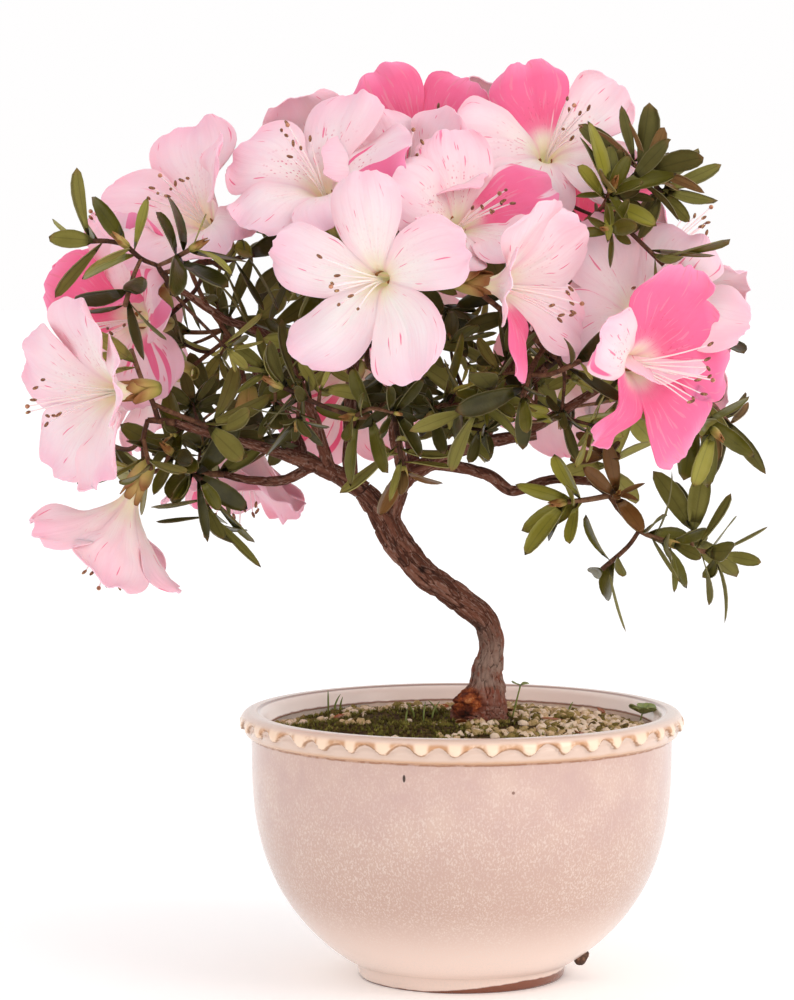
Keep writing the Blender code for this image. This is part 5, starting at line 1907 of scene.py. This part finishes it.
# How far the wave wanders to the side, and how uneven its height is, as shares.
SCALLOP_WANDER = 0.26
SCALLOP_UNEVEN = 0.4
WOBBLE = 0.15


def body_radius(height):
    """Outer radius of the bowl: a quarter of a superellipse between foot and rim."""
    rise = (BODY_DEPTH - height) / (BODY_DEPTH - FOOT_HEIGHT)
    swell = (1 - max(0.0, rise) ** BELLY_CURVE) ** (1 / FOOT_CURVE)
    return FOOT_RADIUS + 1.5 + (BODY_TOP_RADIUS - FOOT_RADIUS - 1.5) * swell


def inner_radius(height):
    """Inner radius of the bowl, a wall further in."""
    return body_radius(max(height, FLOOR + 1.0)) - WALL


def bowl_outline():
    """Radius and height round the bowl's wall, from the foot's middle to the floor's."""
    outline = [(0, 0.6), (FOOT_RADIUS - 5, 0.6), (FOOT_RADIUS - 4, 0), (FOOT_RADIUS - 0.6, 0)]
    outline += [(FOOT_RADIUS, 0.7), (FOOT_RADIUS + 0.3, 2.2), (FOOT_RADIUS + 0.5, FOOT_HEIGHT - 1.0)]
    for i in range(BODY_RINGS + 1):
        height = FOOT_HEIGHT + (BODY_DEPTH - FOOT_HEIGHT) * (i / BODY_RINGS) ** 1.6
        outline.append((body_radius(height), height))
    outline.append((BODY_TOP_RADIUS + 0.1, 81.0))
    for step in range(RIM_RINGS + 1):
        turn = math.radians(RIM_START + RIM_SWEEP * step / RIM_RINGS)
        outline.append((RIM_CENTRE + RIM_ROLL * math.cos(turn), RIM_LEVEL + RIM_ROLL * math.sin(turn)))
    # The ledge inside the rim.
    ledge = inner_radius(BODY_DEPTH)
    outline += [(ledge + 0.4, RIM_LEVEL - 0.2), (ledge - 0.1, RIM_LEVEL - 0.9)]
    outline += [(ledge, RIM_LEVEL - 1.3), (ledge + 0.3, RIM_LEVEL - 1.7)]
    outline += [(ledge + 0.2, 83.0), (ledge, 81.0), (ledge, BODY_DEPTH)]
    for i in range(1, 12):
        height = BODY_DEPTH - (BODY_DEPTH - FLOOR - 4) * i / 12
        outline.append((inner_radius(height), height))
    return outline + [(inner_radius(FLOOR) * 0.9, FLOOR), (0, FLOOR)]


def turned(outline, sides, push):
    """Points and layout of a closed turned shape. push(radius, height, turn) moves a point."""
    points = [(0, 0, outline[0][1])]
    for radius, height in outline[1:-1]:
        for side in range(sides):
            turn = math.tau * side / sides
            out, up = push(radius, height, turn)
            points.append(((radius + out) * math.cos(turn), (radius + out) * math.sin(turn), height + up))
    points.append((0, 0, outline[-1][1]))
    rings, last = len(outline) - 2, len(points) - 1
    faces, own = [], []
    for side in range(sides):
        after = (side + 1) % sides
        left, right = side / sides, (side + 1) / sides
        faces.append((0, 1 + after, 1 + side))
        own += [(left, 0), (right, 1 / (rings + 1)), (left, 1 / (rings + 1))]
        faces.append((last, last - sides + side, last - sides + after))
        own += [(left, 1), (left, rings / (rings + 1)), (right, rings / (rings + 1))]
        for ring in range(rings - 1):
            low = 1 + ring * sides
            faces.append((low + side, low + after, low + sides + after, low + sides + side))
            bottom, top = (ring + 1) / (rings + 1), (ring + 2) / (rings + 1)
            own += [(left, bottom), (right, bottom), (right, top), (left, top)]
    own = np.array(own, float)
    return points, (faces, own, own)


def scallop_line(turn):
    """Height of the wavy line on the rim: arches with round drops between them."""
    wander = SCALLOP_WANDER * noise.noise(Vector((math.cos(turn) * 5, math.sin(turn) * 5, 5.0)))
    part = math.tau * (turn * SCALLOPS / math.tau + wander)
    uneven = noise.noise(Vector((math.cos(turn) * 9, math.sin(turn) * 9, 8.0)))
    # The drops are a little rounder than the arches, and lean to one side.
    wave = 0.5 + 0.5 * math.sin(part + 0.35 * math.cos(part))
    return SCALLOP_LOW + SCALLOP_RISE * (1 + SCALLOP_UNEVEN * uneven) * wave**1.1


def press_rim(radius, height, turn):
    """The drops that stand out above the wavy line, and the slight wobble of a thrown bowl."""
    wobble = WOBBLE * noise.noise(Vector((math.cos(turn) * 2, math.sin(turn) * 2, height / 30)))
    if height < RIM_LEVEL - RIM_ROLL or radius < RIM_CENTRE - RIM_ROLL * 0.7:
        return wobble, 0.0
    tilt = math.degrees(math.atan2(height - RIM_LEVEL, radius - RIM_CENTRE))
    above = height - scallop_line(turn)
    step = smooth(-0.6, 0.5, above) - 0.6
    groove = math.exp(-(((above + 1.1) / 0.8) ** 2))
    fade = smooth(-55, -25, tilt) * (1 - smooth(45, 88, tilt))
    lift = SCALLOP_RELIEF * fade * (step - 0.35 * groove)
    return wobble + lift * math.cos(math.radians(tilt)), lift * math.sin(math.radians(tilt))


bowl = Bundle("above")
points, layout = turned(bowl_outline(), BOWL_SIDES, press_rim)
bowl.add(points, layout, above=[z - scallop_line(math.atan2(y, x)) for x, y, z in points])

# %% [markdown]
# ## The glaze
#
# The glaze is pinkish cream with fine pale flecks that run down, and lighter towards the foot, which is
# partly painted light from the white floor.
# On the rim the round drops are cream. Over the arches between them the glaze is thin and tan,
# and thin brown lines mark where it broke on an edge. Grey white glaze pools below the wave.
# The wave is known on every point of the mesh as its height above the wavy line, so the
# colours meet the relief exactly. Two pits in the glaze and the unglazed edge of the foot
# are brown. Heights are in millimetres here, and distances from the axis in metres.

# %% Glaze
# Smooth, under a thin clear coat, so it mirrors the lamps softly.
PIT = (-0.0197, -0.0686, 0.0776)
RAW_EDGE_LEFT = 0.4
RAW_EDGE_GROWTH = 2.8
coat = {"Coat Weight": 0.35, "Coat Roughness": 0.08}
stoneware, tree, shader = new_finish("cream glazed stoneware", "#EAD3C6", 0.22, coat)
place = own_place(tree)


def move(kind, first, second):
    """Sums on places."""
    return add_node(tree, "ShaderNodeVectorMath", {0: first, 1: second}, operation=kind).outputs[0]


def length_of(vector):
    return add_node(tree, "ShaderNodeVectorMath", {0: vector}, operation="LENGTH").outputs["Value"]


def band(value, middle, half):
    """A share that is 1 at a value and falls to nothing at both sides of it."""
    return slope(maths("ABSOLUTE", maths("SUBTRACT", value, middle)), half, half * 0.25)


where_x, where_y, where_z = add_node(tree, "ShaderNodeSeparateXYZ", {"Vector": place}).outputs
far = length_of(move("MULTIPLY", place, (1, 1, 0)))
fleck = spots(move("MULTIPLY", place, (1, 1, 0.55)), 1700.0, 3.0, 0.7)
flow = spots(place, 60.0, 4.0, 0.6)
broken = slope(spots(place, 320.0), 0.36, 0.5)
uneven = maths("MULTIPLY_ADD", spots(place, 260.0, 3.0), 1.2, -0.6)
level = maths("ADD", product(where_z, 1000.0), product(uneven, 0.6))
above = maths("ADD", mark_of(tree, "above"), uneven)

# The body, from pinkish cream at the rim to pale cream at the foot. This change with height is
# partly painted light: paler low down, where the white floor lights the bowl.
glaze = ramp(flow, (0.3, "#C6A69E"), (0.5, "#CBABA0"), (0.7, "#D2B4A6"))
glaze = lay_on(glaze, slope(level, 72.0, 36.0, 0.8), "#C4A596")
glaze = lay_on(glaze, slope(level, 34.0, 8.0, 0.85), "#F6DFD2")
patchy = maths("ADD", slope(flow, 0.32, 0.6, 0.32), slope(level, 84.0, 52.0, 0.3))
glaze = lay_on(glaze, product(slope(fleck, 0.5, 0.62), patchy), "#E3D2C8")
pits = add_node(tree, "ShaderNodeTexVoronoi", {"Vector": place, "Scale": 52.0})
glaze = lay_on(glaze, slope(pits.outputs["Distance"], 0.035, 0.02, 0.8), "#6E4432")
bubble = length_of(move("MULTIPLY", move("SUBTRACT", place, PIT), (1, 1, 0.4)))
glaze = lay_on(glaze, slope(bubble, 0.0006, 0.0004), "#3A2418")
# Painted light: the inner wall is painted paler, to make up for the shade that the crown casts into the
# bowl.
inside = product(slope(far, 0.0705, 0.0690), slope(level, 77.5, 78.0))
glaze = lay_on(glaze, inside, "#FEEBE1")
# The rim: its ground, the pooled glaze, the drops, and the thin glaze over the arches.
outside = slope(far, 0.0690, 0.0705)
on_rim = product(slope(level, 81.9, 82.6), outside)
glaze = lay_on(glaze, on_rim, "#D4AA88")
pooled = product(slope(level, 83.0, 84.4), slope(above, 0.1, -0.4), on_rim, 0.85)
glaze = lay_on(glaze, pooled, "#DDC5B7")
drops = lay_on("#FFE3CC", flow, "#F2D0B0")
glaze = lay_on(glaze, product(slope(above, -0.1, 0.15), on_rim), drops)
line_height = maths("SUBTRACT", level, above)
thin = product(slope(line_height, 85.8, 87.3), slope(above, 4.0, 1.0), slope(above, -0.1, 0.1))
glaze = lay_on(glaze, product(thin, slope(uneven, -0.3, 0.1, 0.95), on_rim), "#C48E62")
glaze = lay_on(glaze, product(slope(level, 88.7, 90.2), outside), "#E2C6B6")
# Brown lines: where the glaze broke along the wave, below it and on the ledge, and a line along the crest on
# the back half of the rim.
wave_line = product(band(above, 0.0, 0.55), on_rim, broken, slope(level, 89.6, 88.6), 0.75)
glaze = lay_on(glaze, wave_line, "#94663F")
half_broken = maths("MULTIPLY_ADD", broken, 0.5, 0.5)
low_line = product(band(level, 82.2, 0.5), slope(far, 0.0695, 0.0705), half_broken, 0.85)
glaze = lay_on(glaze, low_line, "#9A6848")
crest_line = product(band(far, 0.0692, 0.0010), slope(level, 88.5, 89.5))
glaze = lay_on(glaze, product(crest_line, slope(where_y, -0.02, 0.02, 0.95)), "#8E5E4A")
ledge_line = product(band(level, 85.7, 0.55), slope(far, 0.0680, 0.0670), 0.9)
glaze = lay_on(glaze, ledge_line, "#96614A")
# The unglazed edge of the foot is wider at the right.
rightwards = slope(where_x, -0.012, 0.02, kind="LINEAR")
raw_top = maths("MULTIPLY_ADD", rightwards, RAW_EDGE_GROWTH, RAW_EDGE_LEFT)
glaze = lay_on(glaze, slope(maths("SUBTRACT", level, raw_top), 0.3, -0.2), "#7E4630")
feed(shader, "Base Color", glaze)
add_bump(shader, fleck, 0.12, 0.0004)

piece = bowl.make("bowl", stoneware, columns=1)
piece.data.set_sharp_from_angle(angle=math.radians(55))
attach(piece, "root")
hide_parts("pot")

# %% [markdown]
# ## A lump of clay beside the foot
#
# A small lump of dark clay sticks to the bowl's underside at the right of its foot. It is the
# same ball as an anther, only finer, pushed in and out by noise and sunk a little into the bowl.

# %% A lump of clay beside the foot
LUMP = Vector((40.4, -8.0, 7.4))
LUMP_HALF_HEIGHT = 3.3
LUMP_HALF_WIDTH = 2.3
LUMP_WAY = Vector((0.35, 0, 1)).normalized()
points = ball(LUMP, LUMP_WAY, LUMP_HALF_HEIGHT, LUMP_HALF_WIDTH, 18, 11)
points = [LUMP + (p - LUMP) * (1 + 0.35 * noise.noise(p / 1.9)) for p in points]
clay_lump = Bundle()
clay_lump.add(points, ball_layout(18, 11))
# Crumbly and dull, like earth that dried on the bowl.
clay, tree, shader = new_finish("dark dried clay", "#4A2E20", 0.7)
crumb = spots(own_place(tree), 500.0, 5.0)
feed(shader, "Base Color", ramp(crumb, (0.35, "#2E1C14"), (0.55, "#553624"), (0.7, "#85604A")))
add_bump(shader, crumb, 0.5, 0.0004)
piece = clay_lump.make("clay_lump", clay)
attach(piece, "root")

# %% [markdown]
# ## The bed of soil
#
# Under the trunk lies a mound of dark loam with moss on its left and pumice on its right.
# The mound is a turned shape with an uneven top. Grains and moss repeat by the thousand and
# follow its surface, so Geometry Nodes scatter them with a fixed seed.

# %% The bed of soil
SOIL_EDGE = 84.0
SOIL_PAD_RADIUS = 12.5
SOIL_RINGS = ((60, 84.6), (52, 85.3), (44, 85.9), (36, 86.5), (28, 87.0), (20, 87.4))
SOIL_SIDES = 120
TOP_RINGS = 30
# How far the bed has sunk behind the trunk, towards the rim.
SUNK = 1.6


def soil_heaps(x, y):
    """Low heaps, in the same places as on the solid."""
    return 0.7 * math.sin(x / 7.9 + 0.6) * math.cos(y / 7.1 + 0.4) + 0.4 * math.sin((x + 2 * y) / 12.0)


def soil_outline():
    """Radius and height of the bed: up the inside of the bowl, and over its top to the middle."""
    heights = [FLOOR + GAP + (BODY_DEPTH - FLOOR) * part for part in (0.0, 0.12, 0.3, 0.6, 1.0)]
    clear = GAP + 0.5
    outline = [(0, heights[0]), (inner_radius(FLOOR) * 0.9 - clear, heights[0])]
    outline += [(inner_radius(height) - 2 * clear, height) for height in heights[1:-1]]
    edge = inner_radius(BODY_DEPTH) - clear
    known = [(0, SOIL_TOP), (SOIL_PAD_RADIUS, SOIL_TOP), *reversed(SOIL_RINGS), (edge, SOIL_EDGE)]
    for i in range(TOP_RINGS):
        radius = edge * (1 - i / TOP_RINGS)
        outline.append((radius, float(np.interp(radius, *zip(*known)))))
    return outline + [(0, SOIL_TOP)]


def uneven_soil(radius, height, turn):
    """Heaps and crumbs on the top of the bed, except where the trunk stands."""
    if height < SOIL_EDGE - 0.01:
        return 0.0, 0.0
    x, y = radius * math.cos(turn), radius * math.sin(turn)
    beside_trunk = min(1.0, max(0.0, (math.hypot(x - 7, y) - 9) / 8))
    crumbs = 0.7 * noise.noise(Vector((x / 5, y / 5, 3.0)))
    crumbs += 0.4 * noise.noise(Vector((x / 2.2, y / 2.2, 9.0)))
    sunk = SUNK * smooth(54, 64, radius) * smooth(-0.1, 0.7, math.sin(turn))
    return 0.0, (soil_heaps(x, y) + crumbs) * beside_trunk - sunk


mound = Bundle()
mound.add(*turned(soil_outline(), SOIL_SIDES, uneven_soil))
# Damp and dark, without any shine.
loam, tree, shader = new_finish("damp potting loam", "#4A3A22", 0.95, {"Specular IOR Level": 0.15})
crumb = spots(own_place(tree), 380.0, 6.0, 0.7)
tint = ramp(crumb, (0.3, "#241608"), (0.46, "#463018"), (0.58, "#5A4A20"), (0.75, "#806238"))
feed(shader, "Base Color", tint)
add_bump(shader, crumb, 0.9, 0.0012)
mound_piece = mound.make("soil_bed", loam)
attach(mound_piece, "root")
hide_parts("soil")

# %% [markdown]
# ## Pumice and moss
#
# Pumice grains are 1 to 4 mm across, cream and tan. Moss stands in tufts of short blades.
# The tree below takes a shape to repeat, the density, a size, and on which side of the bowl
# it lies thickest. It spreads points over the top of the mound, turns and scales the shape at
# each, stores a random tone, and joins all of them as one mesh.

# %% Scatter on the soil


def small_shape(name, points, faces):
    """A mesh to repeat, in metres, that isn't in the scene itself."""
    mesh = bpy.data.meshes.new(name)
    mesh.from_pydata(points, [], faces)
    mesh.shade_smooth()
    return bpy.data.objects.new(name, mesh)


SCATTER_INPUTS = {
    "Geometry": "NodeSocketGeometry",
    "Shape": "NodeSocketObject",
    "Finish": "NodeSocketMaterial",
    "Density": "NodeSocketFloat",
    "Smallest": "NodeSocketFloat",
    "Largest": "NodeSocketFloat",
    "Lean right": "NodeSocketFloat",
    "Lean out": "NodeSocketFloat",
    "Bare share": "NodeSocketFloat",
    "Upright": "NodeSocketFloat",
    "Seed": "NodeSocketInt",
}
PATCH_SCALE = 55.0
PATCH_EDGE = 9.0
LOWEST_TOP = 0.08
TONE_SEED = 7


def scatter_tree(name):
    """Geometry nodes that strew a shape over the upward faces of a mesh."""
    tree = bpy.data.node_groups.new(name, "GeometryNodeTree")
    for label, kind in SCATTER_INPUTS.items():
        tree.interface.new_socket(label, in_out="INPUT", socket_type=kind)
    tree.interface.new_socket("Geometry", in_out="OUTPUT", socket_type="NodeSocketGeometry")
    entry = tree.nodes.new("NodeGroupInput").outputs
    seed = {"Seed": entry["Seed"]}

    # How thick it lies: only on top, in patches, and more to one side or towards the rim.
    place = add_node(tree, "GeometryNodeInputPosition").outputs[0]
    where = add_node(tree, "ShaderNodeSeparateXYZ", {0: place}).outputs
    normal = add_node(tree, "GeometryNodeInputNormal").outputs[0]
    facing = add_node(tree, "ShaderNodeSeparateXYZ", {0: normal}).outputs
    on_top = product(maths("GREATER_THAN", facing["Z"], 0.5), maths("GREATER_THAN", where["Z"], LOWEST_TOP))
    share = maths("MULTIPLY_ADD", where["X"], entry["Lean right"], spots(place, PATCH_SCALE))
    level_place = add_node(tree, "ShaderNodeVectorMath", {0: place, 1: (1, 1, 0)}, operation="MULTIPLY")
    off_axis = add_node(tree, "ShaderNodeVectorMath", {0: level_place.outputs[0]}, operation="LENGTH")
    share = maths("MULTIPLY_ADD", off_axis.outputs["Value"], entry["Lean out"], share)
    share = maths("SUBTRACT", share, entry["Bare share"])
    share = maths("MULTIPLY", share, PATCH_EDGE, use_clamp=True)
    strewn = {"Mesh": entry["Geometry"], "Density": product(share, on_top, entry["Density"]), **seed}
    points = add_node(tree, "GeometryNodeDistributePointsOnFaces", strewn)

    # How each copy is turned: any way, or upright with any side to the front.
    any_turn = add_node(tree, "FunctionNodeRandomValue", seed, data_type="FLOAT_VECTOR")
    any_turn.inputs[1].default_value = (6.28, 6.28, 6.28)
    level = {0: any_turn.outputs[0], 1: (0.06, 0.06, 1.0)}
    level_turn = add_node(tree, "ShaderNodeVectorMath", level, operation="MULTIPLY")
    turns = {0: entry["Upright"], 4: any_turn.outputs[0], 5: level_turn.outputs[0]}
    turn = add_node(tree, "ShaderNodeMix", turns, data_type="VECTOR")
    size = add_node(tree, "FunctionNodeRandomValue", {2: entry["Smallest"], 3: entry["Largest"], **seed})
    placed = {
        "Points": points.outputs["Points"],
        "Instance": add_node(tree, "GeometryNodeObjectInfo", {"Object": entry["Shape"]}).outputs["Geometry"],
        "Rotation": turn.outputs[1],
        "Scale": size.outputs[1],
    }
    copies = add_node(tree, "GeometryNodeInstanceOnPoints", placed).outputs["Instances"]

    # A random tone for each copy, and all of them joined as one mesh with its material.
    tone = add_node(tree, "FunctionNodeRandomValue", {"Seed": TONE_SEED}).outputs[1]
    named = add_node(
        tree,
        "GeometryNodeStoreNamedAttribute",
        {"Geometry": copies, "Name": "tone", "Value": tone},
        data_type="FLOAT",
        domain="INSTANCE",
    ).outputs["Geometry"]
    joined = add_node(tree, "GeometryNodeRealizeInstances", {"Geometry": named}).outputs["Geometry"]
    finished = {"Geometry": joined, "Material": entry["Finish"]}
    dressed = add_node(tree, "GeometryNodeSetMaterial", finished).outputs["Geometry"]
    tree.links.new(dressed, tree.nodes.new("NodeGroupOutput").inputs[0])
    return tree


SCATTER = scatter_tree("strew on soil")


def strew(name, **inputs):
    """Runs the tree on the mound and keeps the result as one plain mesh."""
    carrier = put_in_scene(name + "_carrier", mound_piece.data)
    modifier = carrier.modifiers.new("strew", "NODES")
    modifier.node_group = SCATTER
    for socket in SCATTER.interface.items_tree:
        label = socket.name.replace(" ", "_").lower()
        if socket.in_out == "INPUT" and label in inputs:
            modifier[socket.identifier] = inputs[label]
    bpy.context.view_layer.update()
    evaluated = carrier.evaluated_get(bpy.context.evaluated_depsgraph_get())
    mesh = bpy.data.meshes.new_from_object(evaluated)
    bpy.data.objects.remove(carrier)
    made = put_in_scene(name, mesh)
    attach(made, "root")
    print(name, len(mesh.polygons), "faces")


# Dry and porous: cream, tan or brown by the grain, darker in its pores.
pumice, tree, shader = new_finish("pumice grain", "#C8AE86", 0.9, {"Specular IOR Level": 0.2})
pore = spots(own_place(tree), 1300.0, 3.0, 0.7)
tone = maths("MULTIPLY_ADD", pore, 0.5, mark_of(tree, "tone"))
tint = ramp(
    tone, (0.25, "#4E3A1A"), (0.42, "#7C6C34"), (0.58, "#A48C58"), (0.76, "#D0B086"), (1.0, "#ECD4BC")
)
feed(shader, "Base Color", tint)
add_bump(shader, pore, 0.6, 0.0004)

# Olive, from brown old tufts to fresh yellow green ones, in patches.
moss, tree, shader = new_finish("cushion moss", "#4A4A1C", 0.8, {"Specular IOR Level": 0.2})
tone = maths("MULTIPLY_ADD", mark_of(tree, "tone"), 0.5, spots(own_place(tree), 90.0))
tint = ramp(tone, (0.4, "#3A2C12"), (0.6, "#554A1A"), (0.8, "#706A28"), (1.0, "#9C9448"))
feed(shader, "Base Color", tint)

# One grain: an uneven ball a millimetre across.
dice = random.Random("pumice")
lump = ball(Vector((0, 0, 0)), Vector((0, 0, 1)), 0.5 * MM, 0.62 * MM, 7, 4)
lump = [point * dice.uniform(0.8, 1.2) for point in lump]
grain_shape = small_shape("grain", lump, ball_layout(7, 4)[0])

# One tuft: blades round a middle, each a narrow pyramid that leans outwards.
TUFT_BLADES = 7
BLADE_FOOT = 0.15
BLADE_HALF = 0.13
dice = random.Random("moss")
blade_points, blade_faces = [], []
for i in range(TUFT_BLADES):
    turn = math.tau * i / TUFT_BLADES + dice.uniform(-0.3, 0.3)
    out = Vector((math.cos(turn), math.sin(turn), 0))
    side = Vector((-out.y, out.x, 0))
    lean, tall = dice.uniform(0.1, 0.7), dice.uniform(0.7, 1.2)
    foot = len(blade_points)
    blade_points += [
        (out * BLADE_FOOT + side * BLADE_HALF) * MM,
        (out * BLADE_FOOT - side * BLADE_HALF) * MM,
        (out * 0.02) * MM,
        (out * lean + Vector((0, 0, tall))) * MM,
    ]
    for face in ((0, 2, 1), (0, 1, 3), (1, 2, 3), (2, 0, 3)):
        blade_faces.append(tuple(foot + corner for corner in face))
tuft_shape = small_shape("tuft", blade_points, blade_faces)

strew(
    "pumice_grains",
    shape=grain_shape,
    finish=pumice,
    density=190000.0,
    smallest=1.3,
    largest=3.3,
    lean_right=4.0,
    lean_out=6.0,
    bare_share=0.64,
    upright=0.0,
    seed=3,
)
strew(
    "moss_tufts",
    shape=tuft_shape,
    finish=moss,
    density=440000.0,
    smallest=0.6,
    largest=1.7,
    lean_right=-3.0,
    lean_out=-3.0,
    bare_share=0.28,
    upright=1.0,
    seed=5,
)

# %% [markdown]
# ## What else lies and grows in the pot
#
# A few dead azalea leaves, some blades of fine grass, a clover leaf beside the trunk and a
# small sprig at the rim lie or grow where the real pot has them. The leaf and the tube from
# the crown make them all, so they need no new shapes.

# %% What else lies and grows in the pot
# Where each lies or stands on the bed, and its length or height.
DEAD_LEAVES = (
    (-12, 34, 9), (-17, 37, 7), (-2, -20, 6), (35, -5, 9),
    (38, -30, 6), (12, 24, 7), (50, 30, 7), (-40, 20, 6),
)
GRASS = (
    (-46, 40, 9), (-44, 38, 7), (-42, 40, 6), (-16, 6, 6), (-13, 2, 7),
    (-10, 5, 6), (-19, 0, 5), (-8, 9, 6), (38, 44, 5),
)
CLOVER = (17, 1, 12)
SPRIG = (61, 12, 6)
UP = Vector((0, 0, 1))
ground = BVHTree.FromPolygons(
    [vertex.co / MM for vertex in mound_piece.data.vertices],
    [polygon.vertices[:] for polygon in mound_piece.data.polygons],
)


def on_ground(x, y):
    """The point of the bed straight below or above a place."""
    return ground.ray_cast(Vector((x, y, 200)), -UP)[0]


def add_stalk(foot, lean, tall, stops):
    """A thin stalk that leans further the higher it gets. Gives its stations."""
    stations = []
    for part, bent, thick in stops:
        stations.append((*(foot + lean * tall * bent + UP * (tall * part - 0.5)), thick))
    add_tube(growth, stations, 5, 3)
    return stations


dice = random.Random("pot growth")
litter, growth = Bundle(), Bundle()
for x, y, length in DEAD_LEAVES:
    turn = dice.uniform(0, math.tau)
    along = Vector((math.cos(turn), math.sin(turn), dice.uniform(-0.05, 0.25))).normalized()
    normal = along.cross(Vector((-along.y, along.x, 0))).normalized()
    points = leaf_points(on_ground(x, y) + UP * 1.6, along, normal, length, dice, 1.8)
    litter.add(points, LEAF_LAYOUT, LEAF_SIDES)
for x, y, tall in GRASS:
    lean = Vector((dice.uniform(-0.6, 0.6), dice.uniform(-0.4, 0.4), 0))
    stops = ((0.0, 0.3), (0.4, 0.35), (0.75, 0.28), (1.0, 0.08))
    add_stalk(on_ground(x, y), lean, tall, [(part, part**2, thick) for part, thick in stops])
for (x, y, tall), count, long, wide in ((CLOVER, 2, 3.6, 3.4), (SPRIG, 6, 6.0, 2.2)):
    lean = Vector((0.25, 0, 0))
    stations = add_stalk(on_ground(x, y), lean, tall, [(part, part, 0.3) for part in (0.0, 0.5, 1.0)])
    for i in range(count):
        turn = math.tau * i / count + 0.5
        along = Vector((math.cos(turn), math.sin(turn), 0.45)).normalized()
        normal = Vector((-math.cos(turn), -math.sin(turn), 2)).normalized()
        root = Vector(stations[-1][:3]) - UP * (0.25 * (i // 3) * tall)
        growth.add(leaf_points(root, along, normal, long, dice, wide), LEAF_LAYOUT, LEAF_SIDES)
dead_upper = leaf_finish("dead azalea leaf", "#96481F", 0.6, "#B87840", "#5A2A14")
dead_lower = leaf_finish("dead azalea leaf underside", "#A8683A", 0.8, "#96481F", "#6A3A1C")
green_upper = leaf_finish("fresh weed leaf", "#788440", 0.5, "#98A25A", "#707C34")
green_lower = leaf_finish("fresh weed leaf underside", "#86905A", 0.7, "#66762E", "#808A4A")
for name, bundle, finishes in (
    ("dead_leaves", litter, (dead_upper, dead_lower)),
    ("pot_weeds", growth, (green_upper, green_lower)),
):
    piece = bundle.make(name, *finishes)
    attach(piece, "root")
